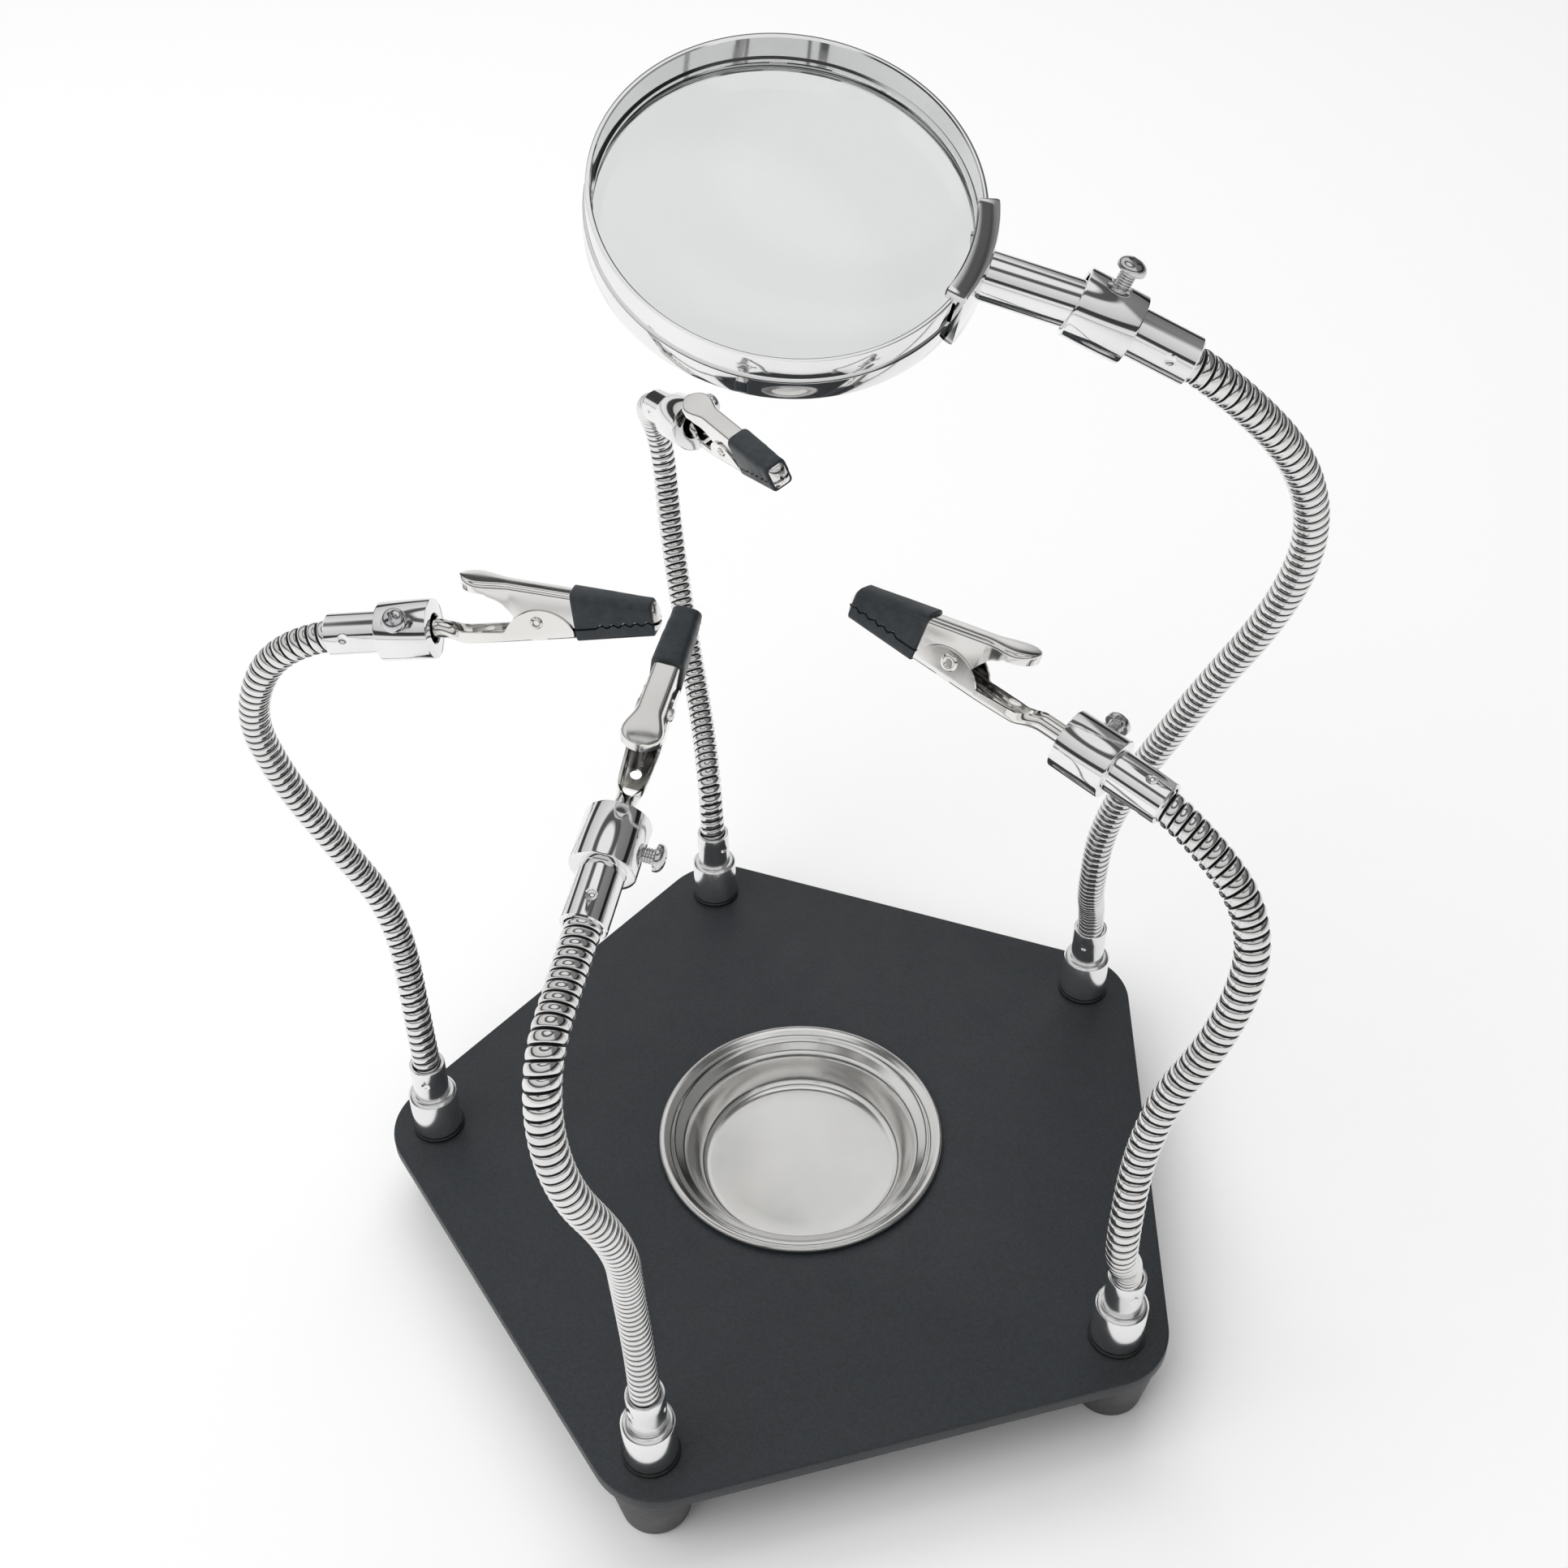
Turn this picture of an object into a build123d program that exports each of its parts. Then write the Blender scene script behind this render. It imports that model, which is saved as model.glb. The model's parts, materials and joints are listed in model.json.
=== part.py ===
from build123d import *
import math
import os

# Helping-hands clamp for an electronics bench: a heavy five-sided base, five flexible metal
# goosenecks, four alligator clips with rubber boots, a magnifier and a drop-in parts tray.
# Millimetres and degrees, +Z up, +X to the user's right, -Y towards the user.
# The origin is the middle of the base, on the bench that the feet stand on.

# ---- base ----
SIDES = 5
APOTHEM = 90.0  # middle of the base to the middle of a straight edge
CORNER_R = 17.0
PLATE_T = 4.0
PLATE_EDGE = 0.5
FOOT_H = 18.5
FOOT_TOP_R = 11.2
FOOT_BOTTOM_R = 8.1
FOOT_SCREW_SEAT = 11.5  # height of the screw head's seat inside the foot
FOOT_SCREW_HEAD_R = 3.8
FOOT_SCREW_HEAD_H = 2.6
SCREW_R = 2.0
SCREW_HOLE_R = 2.2
SCREW_IN_POST = 9.0
PLATE_TOP = FOOT_H + PLATE_T

# ---- posts ----
POST_CIRCLE_R = 95.5
FIRST_POST_DEG = -126.0
WASHER_R = 6.7
WASHER_T = 1.0
POST_R = 6.2
POST_BODY_H = 12.5
POST_CHAMFER = 0.7
SLEEVE_R = 4.5
SLEEVE_H = 10.5
THREAD_R = 2.05
DIMPLE_R = 0.9
DIMPLE_DEPTH = 0.45
DIMPLES = 3
POST_MOUTH = PLATE_TOP + WASHER_T + POST_BODY_H + SLEEVE_H

# ---- parts tray, heights above the plate's top ----
TRAY_HOLE_R = 34.2
TRAY_RIM_R = 37.0
TRAY_BEAD_R = 1.0
TRAY_NECK_R = 33.4
TRAY_STEP_R = 29.4
TRAY_STEP_DEPTH = 2.0
TRAY_DEPTH = 10.4
TRAY_WALL = 0.6

# ---- goosenecks ----
NECK_R = 3.5
NECK_BORE_R = 2.0
SOCKET_R = 3.55
SOCKET_DEPTH = 8.0
ARC_SHARE = 0.36  # share of the shorter run that each tangent arc takes
LARGEST_ARC_R = 250.0
CUP_GAP = 0.3

# ---- connectors on the arms' tips, measured back from the mouth ----
COLLAR_R = 6.4
COLLAR_L = 11.5
CONNECTOR_L = 23.5
COLLAR_BORE_R = 5.4  # for the magnifier's handle
CLIP_BORE_R = 3.1
COLLAR_BORE_L = 10.0
TAIL_BORE_R = 2.5
TAIL_BORE_L = 13.0
CONNECTOR_SOCKET_L = 9.0
NECK_END = 17.5  # where a gooseneck stops inside the sleeve
CLAMP_X = -5.75
CLAMP_R = 1.5
CLAMP_HOLE_R = 1.55
CLAMP_HEAD_R = 2.7
CLAMP_HEAD_H = 2.1
CLIP_SCREW_TIP = 2.1
CLIP_SCREW_SEAT = 8.4
LENS_SCREW_TIP = 5.25
LENS_SCREW_SEAT = 9.2

# ---- alligator clip, x from the collar's mouth towards the tip, z towards the thumb pad ----
SHEET = 0.55
PIVOT_X = 22.7
PIVOT_Z = 1.1
TIP_X = 48.3
FLOOR_Z = -3.0
TAIL_TOP_Z = -0.4
MOUTH_Z = -1.0
MOUTH_GAP = 0.3
EAR_R = 8.2
EAR_CENTRE_Z = -4.5
TAIL_R = 2.0
TAIL_END_X = -11.5
CHANNEL_X = 5.0
NECK_IN_X = 30.2  # where the channel starts to narrow for the boots
BOOT_X = 30.5
BOOT_END_X = 47.2
BOOT_T = 0.7
JAW_HALF = 2.6
EAR_HALF = 3.25
TIP_HALF = 2.2
TOP_REAR = (13.5, 10.5)  # rear end of the upper jaw's straight top
TOP_TIP_Z = 2.3
PAD_X = 11.3
PAD_R = 4.0
PAD_RIM_H = 2.4
RIVET_R = 1.1
RIVET_HOLE_R = 1.16
RIVET_BORE_R = 0.6
RIVET_HEAD_R = 1.7
RIVET_HEAD_T = 0.45
SPRING_OUT_R = 2.1
SPRING_IN_R = 1.35
SPRING_HALF_L = 1.7
WIRE_R = 0.4
WAVES = 5
WAVE_X = 35.0
WAVE_H = 0.3

# ---- magnifier, x from its pivot inside the collar towards the lens ----
HANDLE_R = 4.5
HANDLE_BORE_R = 3.7
HANDLE_IN = 3.5
HANDLE_OUT = 15.8
RING_R = 35.5
RING_H = 10.6
RING_STEP = 0.4
RING_WALL = 1.0
RING_LIP = 1.9
LENS_R = 34.4
LENS_EDGE_T = 3.4
LENS_SAG = 2.6
LENS_GAP = 0.2
CLASP_T = 1.5
CLASP_LIP_T = 1.0
CLASP_LIP = 2.6
CLASP_HALF_DEG = 19.0
RING_X = HANDLE_IN + HANDLE_OUT + CLASP_T + RING_R

# ---- the five arms ----
# post: number counted anticlockwise from the front left; rise: first route point above the
# post's mouth; route: the gooseneck's hand-set points; lead: last straight run before its end;
# mouth, aim: the collar's mouth and its heading, elevation and roll; screw: turn of the clamp
# screw from the collar's up side; pull: how far the clip stands out; bends: the two route runs
# whose middles are the bending points.
ARMS = {
    "front": dict(
        post=0,
        rise=12.0,
        route=[(-57.5, -79.5, 87.5), (-59, -87.5, 115), (-69.5, -91.5, 142), (-69.5, -86.5, 165.5)],
        lead=14.0,
        mouth=(-45.6, -43, 180.5),
        aim=(61.3, 15.2, -12.0),
        screw=-90.0,
        pull=1.9,
        bends=(2, 4),
    ),
    "right": dict(
        post=1,
        rise=6.0,
        route=[(43.5, -93, 76.5), (50, -83, 110), (64, -85, 136), (68.5, -81.5, 160.5)],
        lead=10.0,
        mouth=(42.3, -43, 180.5),
        aim=(125.6, 11.7, -17.0),
        screw=-59.0,
        pull=4.5,
        bends=(2, 4),
    ),
    "magnifier": dict(
        post=2,
        rise=5.0,
        route=[
            (82, 16, 75.5),
            (81, 11, 105.5),
            (88.2, -6.6, 149.5),
            (98, -26.5, 194.5),
            (92.5, -33, 224),
        ],
        lead=12.0,
        mouth=(45, -21, 260.5),
        aim=(151.3, 23.3, -5.0),
        screw=0.0,
        pull=0.0,
        bends=(2, 5),
    ),
    "back": dict(
        post=3,
        rise=10.5,
        route=[(3, 117, 69.5), (3.5, 138, 89.5), (4, 156, 112.5), (5, 166, 137)],
        lead=16.5,
        mouth=(5.8, 122.5, 164.1),
        aim=(-76.3, 11.8, -18.9),
        screw=90.0,
        pull=0.0,
        bends=(2, 4),
    ),
    "left": dict(
        post=4,
        rise=12.5,
        route=[(-91, 46, 83.5), (-101.5, 50.5, 105.5), (-111, 51.5, 129), (-114.5, 47.5, 153)],
        lead=17.0,
        mouth=(-71, 29, 179),
        aim=(-21.0, 7.5, 13.4),
        screw=-55.0,
        pull=0.5,
        bends=(2, 4),
    ),
}
MAGNIFIER_AIM = (151.3, 13.4, 25.3)


# ---- places and directions ----


def turned(radius, degrees, height=0.0):
    """The point at this radius and angle round the origin."""
    angle = math.radians(degrees)
    return Vector(radius * math.cos(angle), radius * math.sin(angle), height)


def aimed(origin, aim):
    """A plane whose x axis has this heading and elevation, rolled about that axis."""
    heading, elevation, roll = (math.radians(a) for a in aim)
    level = math.cos(elevation)
    forward = Vector(level * math.cos(heading), level * math.sin(heading), math.sin(elevation))
    side = Vector(-math.sin(heading), math.cos(heading), 0)
    up = forward.cross(side) * math.cos(roll) + side * math.sin(roll)
    return Plane(origin=Vector(*origin), x_dir=forward, z_dir=up)


def post_angle(arm):
    return FIRST_POST_DEG + arm["post"] * 360 / SIDES


def tip_plane(arm):
    return aimed(arm["mouth"], arm["aim"])


def magnifier_plane(arm):
    """The handle sits loose in its collar, so it droops about a point just inside the mouth."""
    collar = tip_plane(arm)
    return aimed(collar.origin - collar.x_dir * HANDLE_IN, MAGNIFIER_AIM)


def route_points(arm):
    """Every route point of a gooseneck, from inside its post to inside its connector."""
    tip = tip_plane(arm)
    end = tip.origin - tip.x_dir * NECK_END
    first = turned(POST_CIRCLE_R, post_angle(arm), POST_MOUTH - SOCKET_DEPTH)
    above = turned(POST_CIRCLE_R, post_angle(arm), POST_MOUTH + arm["rise"])
    middle = [Vector(*p) for p in arm["route"]]
    return [first, above, *middle, end - tip.x_dir * arm["lead"], end]


def route_radii(points):
    """One tangent arc for each corner, as large as its two runs allow."""
    radii = []
    for before, here, after in zip(points, points[1:], points[2:]):
        run_in = here - before
        run_out = after - here
        half_turn = math.radians(run_in.get_angle(run_out)) / 2
        full = ARC_SHARE * min(run_in.length, run_out.length) / math.tan(half_turn)
        radii.append(min(full, LARGEST_ARC_R))
    return radii


def bend_points(arm):
    """The middle of each run that bends, with the run's direction and the hinge's axis.

    The lower bend leans the arm away from the base's middle, and the upper bend lifts the tip.
    """
    points = route_points(arm)
    outward = turned(1, post_angle(arm))
    tip = tip_plane(arm).x_dir
    bends = []
    for run, axis in zip(arm["bends"], (Vector(0, 0, 1).cross(outward), tip.cross(Vector(0, 0, 1)))):
        along = (points[run + 1] - points[run]).normalized()
        square = (axis - along * axis.dot(along)).normalized()
        bends.append(((points[run] + points[run + 1]) / 2, along, square))
    return bends


# ---- small shapes ----


def cylinder_between(start, end, radius):
    """A round bar from one point to another."""
    run = Vector(*end) - Vector(*start)
    return extrude(Plane(origin=start, z_dir=run) * Circle(radius), run.length)


def side_plate(outline, half_width):
    """A plate cut to an x-z outline and centred on y = 0."""
    face = Plane.XZ * make_face(Polyline(*outline, close=True))
    return extrude(face, half_width, both=True)


def plan_plate(half_outline, low, high):
    """A block cut to an x-y outline that is the same on both sides of y = 0."""
    mirrored = [(x, -y) for x, y in reversed(half_outline)]
    face = make_face(Polyline(*half_outline, *mirrored, close=True))
    return extrude(Plane.XY.offset(low) * face, high - low)


def cross_recess(size, depth):
    """The two crossed slots of a screw head, sunk below z = 0."""
    slot = Box(size, size / 4, depth, align=(Align.CENTER, Align.CENTER, Align.MAX))
    return slot + Rot(0, 0, 90) * slot


def crimp_dimples(radius):
    """Balls that punch shallow dimples into a sleeve round the z axis."""
    reach = radius + DIMPLE_R - DIMPLE_DEPTH
    return [Pos(turned(reach, n * 360 / DIMPLES + 90)) * Sphere(DIMPLE_R) for n in range(DIMPLES)]


# ---- base ----


def base_outline():
    corner = APOTHEM / math.cos(math.pi / SIDES)
    points = [turned(corner, FIRST_POST_DEG + n * 360 / SIDES) for n in range(SIDES)]
    sharp = make_face(Polyline(*points, close=True))
    return fillet(sharp.vertices(), CORNER_R)


def base_plate():
    plate = extrude(Plane.XY.offset(FOOT_H) * base_outline(), PLATE_T)
    rims = plate.edges().filter_by(lambda e: abs(e.tangent_at(0.5).Z) < 0.5)
    plate = chamfer(rims, PLATE_EDGE)
    plate -= Pos(0, 0, FOOT_H) * Cylinder(TRAY_HOLE_R, PLATE_T * 3)
    for n in range(SIDES):
        hole = Cylinder(SCREW_HOLE_R, PLATE_T * 3)
        plate -= Pos(turned(POST_CIRCLE_R, FIRST_POST_DEG + n * 360 / SIDES, FOOT_H)) * hole
    return plate


def on_every_post(shape):
    """Copies of one shape under or over all five posts, as separate solids of one node."""
    places = [turned(POST_CIRCLE_R, FIRST_POST_DEG + n * 360 / SIDES) for n in range(SIDES)]
    return Compound(children=[Pos(place) * shape for place in places])


def rubber_foot():
    foot = Pos(0, 0, FOOT_H / 2) * Cone(FOOT_BOTTOM_R, FOOT_TOP_R, FOOT_H)
    foot = fillet(foot.edges().group_by(Axis.Z)[0], PLATE_EDGE * 2)
    well = Cylinder(FOOT_SCREW_HEAD_R + SCREW_HOLE_R - SCREW_R, FOOT_SCREW_SEAT * 2)
    return foot - well - Cylinder(SCREW_HOLE_R, FOOT_H * 3)


def foot_screw():
    head_z = FOOT_SCREW_SEAT - FOOT_SCREW_HEAD_H
    head = Pos(0, 0, head_z + FOOT_SCREW_HEAD_H / 2) * Cylinder(FOOT_SCREW_HEAD_R, FOOT_SCREW_HEAD_H)
    head = fillet(head.edges().group_by(Axis.Z)[0], FOOT_SCREW_HEAD_H / 2)
    length = PLATE_TOP + WASHER_T + SCREW_IN_POST - FOOT_SCREW_SEAT
    shank = Pos(0, 0, FOOT_SCREW_SEAT + length / 2) * Cylinder(SCREW_R, length)
    recess = Pos(0, 0, head_z) * Rot(180, 0, 0) * cross_recess(FOOT_SCREW_HEAD_R, FOOT_SCREW_HEAD_H / 2)
    return head + shank - recess


def post_washer():
    washer = Cylinder(WASHER_R, WASHER_T) - Cylinder(SCREW_HOLE_R, WASHER_T * 3)
    return Pos(0, 0, PLATE_TOP + WASHER_T / 2) * washer


def post():
    """A turned post: a wide body that takes the foot screw, and a crimped sleeve above it."""
    body = Pos(0, 0, POST_BODY_H / 2) * Cylinder(POST_R, POST_BODY_H)
    body = chamfer(body.edges().group_by(Axis.Z)[-1], POST_CHAMFER)
    sleeve = Pos(0, 0, POST_BODY_H + SLEEVE_H / 2) * Cylinder(SLEEVE_R, SLEEVE_H)
    top = POST_BODY_H + SLEEVE_H
    shape = body + sleeve
    shape -= Pos(0, 0, top) * Cylinder(SOCKET_R, SOCKET_DEPTH * 2)
    shape -= Cylinder(THREAD_R, (SCREW_IN_POST + 1) * 2)
    for dimple in crimp_dimples(SLEEVE_R):
        shape -= Pos(0, 0, top - SLEEVE_H * 0.4) * dimple
    return Pos(0, 0, PLATE_TOP + WASHER_T) * shape


def parts_tray():
    """A pressed dish that drops into the plate and hangs on its rolled rim."""
    upper = FilletPolyline(
        (TRAY_RIM_R - TRAY_BEAD_R, TRAY_BEAD_R * 1.5),
        (TRAY_NECK_R + 0.1, TRAY_WALL),
        (TRAY_NECK_R - TRAY_WALL, -TRAY_WALL / 2),
        (TRAY_STEP_R, -TRAY_STEP_DEPTH),
        (TRAY_STEP_R - 2, -TRAY_DEPTH),
        (0, -TRAY_DEPTH),
        radius=[TRAY_WALL, TRAY_WALL, TRAY_WALL, TRAY_STEP_DEPTH * 1.5],
    )
    lower = FilletPolyline(
        (0, -TRAY_DEPTH - TRAY_WALL),
        (TRAY_STEP_R - 2 + TRAY_WALL, -TRAY_DEPTH - TRAY_WALL),
        (TRAY_STEP_R + TRAY_WALL, -TRAY_STEP_DEPTH - TRAY_WALL / 2),
        (TRAY_NECK_R, -TRAY_WALL),
        (TRAY_NECK_R + TRAY_WALL, 0.1),
        (TRAY_RIM_R - TRAY_BEAD_R, 0.5),
        radius=[TRAY_STEP_DEPTH * 1.5 + TRAY_WALL, TRAY_WALL, TRAY_WALL, TRAY_WALL / 2],
    )
    joins = Line(upper @ 1, lower @ 0) + Line(lower @ 1, upper @ 0)
    dish = revolve(Plane.XZ * make_face(upper + lower + joins), Axis.Z)
    bead_centre = Pos(TRAY_RIM_R - TRAY_BEAD_R, TRAY_BEAD_R)
    bead = revolve(Plane.XZ * bead_centre * Circle(TRAY_BEAD_R), Axis.Z)
    return Pos(0, 0, PLATE_TOP) * (dish + bead)


# ---- goosenecks ----


def neck_piece(points, radii):
    """A length of hollow gooseneck along straight runs joined by tangent arcs."""
    path = FilletPolyline(*points, radius=radii) if radii else Line(*points)
    section = Circle(NECK_R) - Circle(NECK_BORE_R)
    return sweep(Plane(origin=path @ 0, z_dir=path % 0) * section, path=path)


def knuckle(bend):
    """The rounded end of the upper piece, which turns in the lower piece's cup."""
    centre, along, axis = bend
    stub = cylinder_between(centre - along * NECK_R, centre + along * NECK_R, NECK_R)
    round_bar = cylinder_between(centre - axis * NECK_R * 2, centre + axis * NECK_R * 2, NECK_R)
    below = Plane(origin=centre, z_dir=-along) * Rectangle(NECK_R * 4, NECK_R * 4)
    end = stub & round_bar & extrude(below, NECK_R * 2)
    return end - cylinder_between(centre - along * NECK_R * 2, centre, NECK_BORE_R)


def cup(bend):
    """What is cut from the lower piece's end to leave room for the knuckle."""
    centre, _, axis = bend
    return cylinder_between(centre - axis * NECK_R * 2, centre + axis * NECK_R * 2, NECK_R + CUP_GAP)


def neck_pieces(arm):
    """The root, middle and upper lengths of one gooseneck."""
    points = route_points(arm)
    radii = [0, *route_radii(points), 0]
    bends = bend_points(arm)
    low, high = arm["bends"]
    root = neck_piece([*points[: low + 1], bends[0][0]], radii[1 : low + 1])
    middle_points = [bends[0][0], *points[low + 1 : high + 1], bends[1][0]]
    middle = neck_piece(middle_points, radii[low + 1 : high + 1])
    upper = neck_piece([bends[1][0], *points[high + 1 :]], radii[high + 1 : -1])
    return root - cup(bends[0]), middle + knuckle(bends[0]) - cup(bends[1]), upper + knuckle(bends[1])


# ---- connectors and clamp screws ----


def along_x(start, end, radius):
    return cylinder_between((start, 0, 0), (end, 0, 0), radius)


def on_screw_side(arm, shape):
    """Turn a shape that stands on +z round to the clamp screw's side of the collar."""
    return Pos(CLAMP_X, 0, 0) * Rot(-arm["screw"], 0, 0) * shape


def connector(arm):
    collar = along_x(-COLLAR_L, 0, COLLAR_R)
    collar = chamfer(collar.edges(), POST_CHAMFER / 2)
    shape = collar + along_x(-CONNECTOR_L, -COLLAR_L, SLEEVE_R)
    bore_r = COLLAR_BORE_R if arm is ARMS["magnifier"] else CLIP_BORE_R
    shape -= along_x(-COLLAR_BORE_L, 1, bore_r)
    shape -= along_x(-TAIL_BORE_L, 0, TAIL_BORE_R)
    shape -= along_x(-CONNECTOR_L - 1, -CONNECTOR_L + CONNECTOR_SOCKET_L, SOCKET_R)
    dimple_x = -CONNECTOR_L + CONNECTOR_SOCKET_L / 2
    for dimple in crimp_dimples(SLEEVE_R):
        shape -= Pos(dimple_x, 0, 0) * Rot(0, 90, 0) * dimple
    return shape - on_screw_side(arm, cylinder_between((0, 0, 0), (0, 0, COLLAR_R * 2), CLAMP_HOLE_R))


def clamp_screw(arm):
    magnifies = arm is ARMS["magnifier"]
    tip = LENS_SCREW_TIP if magnifies else CLIP_SCREW_TIP
    seat = LENS_SCREW_SEAT if magnifies else CLIP_SCREW_SEAT
    shank = cylinder_between((0, 0, tip), (0, 0, seat), CLAMP_R)
    head = cylinder_between((0, 0, seat), (0, 0, seat + CLAMP_HEAD_H), CLAMP_HEAD_R)
    head = fillet(head.edges().group_by(Axis.Z)[-1], CLAMP_HEAD_H * 0.45)
    recess = Pos(0, 0, seat + CLAMP_HEAD_H) * cross_recess(CLAMP_HEAD_R, CLAMP_HEAD_H / 2)
    return on_screw_side(arm, shank + head - recess)


# ---- alligator clip ----


def top_z(x):
    """Height of the upper jaw's straight top at x."""
    rear_x, rear_z = TOP_REAR
    return rear_z + (TOP_TIP_Z - rear_z) * (x - rear_x) / (TIP_X - rear_x)


def jaw_plan(rear_x, rear_half, grow=0.0):
    """Half of a jaw's x-y outline, narrowing to the tip."""
    return [(rear_x, rear_half + grow), (BOOT_X, JAW_HALF + grow), (TIP_X + grow, TIP_HALF + grow)]


def rivet_line(radius, half_length=EAR_HALF * 2):
    ends = [(PIVOT_X, side * half_length, PIVOT_Z) for side in (-1, 1)]
    return cylinder_between(*ends, radius)


def lower_jaw():
    """The fixed jaw: a folded channel with two half-round ears and a pinched, rolled tail."""
    plan = [(CHANNEL_X, JAW_HALF), (PIVOT_X - EAR_R, EAR_HALF), (NECK_IN_X, EAR_HALF)]
    plan += jaw_plan(BOOT_X, JAW_HALF)[1:]
    inner = [(x + SHEET if x == CHANNEL_X else x, y - SHEET) for x, y in plan[:-1]]
    inner.append((TIP_X - SHEET, TIP_HALF - SHEET))
    side = [(CHANNEL_X, FLOOR_Z), (TIP_X, FLOOR_Z), (TIP_X, MOUTH_Z - MOUTH_GAP)]
    side += [(BOOT_X, MOUTH_Z - MOUTH_GAP), (BOOT_X, TAIL_TOP_Z - 1), (CHANNEL_X, TAIL_TOP_Z)]
    profile = side_plate(side, EAR_HALF * 2)
    ear = Pos(PIVOT_X, 0, EAR_CENTRE_Z) * Rot(90, 0, 0) * Cylinder(EAR_R, EAR_HALF * 2)
    profile += ear & plan_plate([(0, EAR_HALF * 2), (TIP_X, EAR_HALF * 2)], FLOOR_Z, EAR_R)
    shape = profile & plan_plate(plan, FLOOR_Z, EAR_R)
    shape -= plan_plate(inner, FLOOR_Z + SHEET, EAR_R)
    shape -= rivet_line(RIVET_R)
    shape -= Pos(CHANNEL_X + 4, 0, FLOOR_Z) * Cylinder(1.3, 3)
    return shape + tail()


def tail():
    """The rolled tail that the collar grips, flattened into the channel's rear end."""
    rolled = along_x(TAIL_END_X, 0, TAIL_R)
    height = TAIL_TOP_Z - FLOOR_Z
    end = Pos(CHANNEL_X + SHEET, 0, FLOOR_Z + height / 2) * Rot(0, 90, 0) * Rectangle(height, JAW_HALF * 2)
    start = Rot(0, 90, 0) * Circle(TAIL_R)
    return rolled + loft([start, end])


def upper_jaw():
    """The moving jaw: an upturned channel inside the ears, with a thumb pad at its rear end."""
    rear_x, rear_z = TOP_REAR
    bottom = MOUTH_Z + MOUTH_GAP
    side = [TOP_REAR, (TIP_X, TOP_TIP_Z), (TIP_X, bottom), (BOOT_X, bottom)]
    side += [(PIVOT_X + 3, -1.9), (PIVOT_X - 1.8, -1.9), (PIVOT_X - 2.6, -1.0)]
    side += [(PIVOT_X - 4.6, 2.3), (PIVOT_X - 5.7, 4.2), (PIVOT_X - 6.8, 5.8), (rear_x, rear_z - 3)]
    shape = side_plate(side, EAR_HALF) & plan_plate(jaw_plan(rear_x, JAW_HALF), FLOOR_Z, rear_z)
    inside = [(rear_x - 1, rear_z - SHEET), (TIP_X - SHEET, TOP_TIP_Z - SHEET), (TIP_X - SHEET, FLOOR_Z)]
    inside.append((rear_x - 1, FLOOR_Z))
    plan = jaw_plan(rear_x - 1, JAW_HALF, -SHEET)
    shape -= side_plate(inside, EAR_HALF) & plan_plate(plan, FLOOR_Z * 2, rear_z * 2)
    return shape + thumb_pad() - rivet_line(RIVET_HOLE_R)


def thumb_pad():
    """A flared pad with a round, curled-down end, in line with the jaw's top."""
    rear_x, rear_z = TOP_REAR
    slope = math.degrees(math.atan2(rear_z - TOP_TIP_Z, TIP_X - rear_x))
    reach = (PAD_X - rear_x) / math.cos(math.radians(slope))
    disc = Pos(reach, 0) * Circle(PAD_R)
    neck = make_face(Polyline((reach, PAD_R), (3, JAW_HALF), (3, -JAW_HALF), (reach, -PAD_R), close=True))
    plate = extrude(disc + neck, -SHEET)
    rim = extrude(disc, -PAD_RIM_H) - extrude(Pos(reach, 0) * Circle(PAD_R - SHEET), -PAD_RIM_H)
    keep = Pos(reach - PAD_R / 2, 0, 0) * Box(PAD_R * 2, PAD_R * 4, PAD_RIM_H * 4)
    return Pos(rear_x, 0, rear_z) * Rot(0, slope, 0) * (plate + (rim & keep))


def rivet():
    """A hollow eyelet rivet through both ears."""
    ear_reach = EAR_HALF + RIVET_HEAD_T
    heads = rivet_line(RIVET_HEAD_R, ear_reach) - rivet_line(RIVET_HEAD_R * 2, EAR_HALF)
    return rivet_line(RIVET_R, EAR_HALF) + heads - rivet_line(RIVET_BORE_R)


def spring():
    """The torsion spring round the rivet, with one leg under the pad and one on the floor."""
    coil = rivet_line(SPRING_OUT_R, SPRING_HALF_L) - rivet_line(SPRING_IN_R)
    pad_leg = cylinder_between(
        (PIVOT_X - 0.7, SPRING_HALF_L - WIRE_R, PIVOT_Z + 1.6), (PIVOT_X - 5.4, 0.6, 6.0), WIRE_R
    )
    floor_leg = cylinder_between(
        (PIVOT_X - 0.5, -SPRING_HALF_L + WIRE_R, PIVOT_Z - 1.6), (12.5, -0.6, -1.9), WIRE_R
    )
    return coil + pad_leg + floor_leg


def wave(offset):
    """The wavy edge where the two boots meet, from the root to the tip."""
    pitch = (BOOT_END_X - WAVE_X) / (2 * WAVES)
    steps = range(2 * WAVES + 1)
    return [(WAVE_X + n * pitch, MOUTH_Z + offset + WAVE_H * (n % 2)) for n in steps]


def boot(side, plan_low, plan_high, core):
    plan = [(BOOT_X, JAW_HALF + BOOT_T), (BOOT_END_X, TIP_HALF + BOOT_T)]
    return (side_plate(side, EAR_HALF * 2) & plan_plate(plan, plan_low, plan_high)) - core


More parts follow.
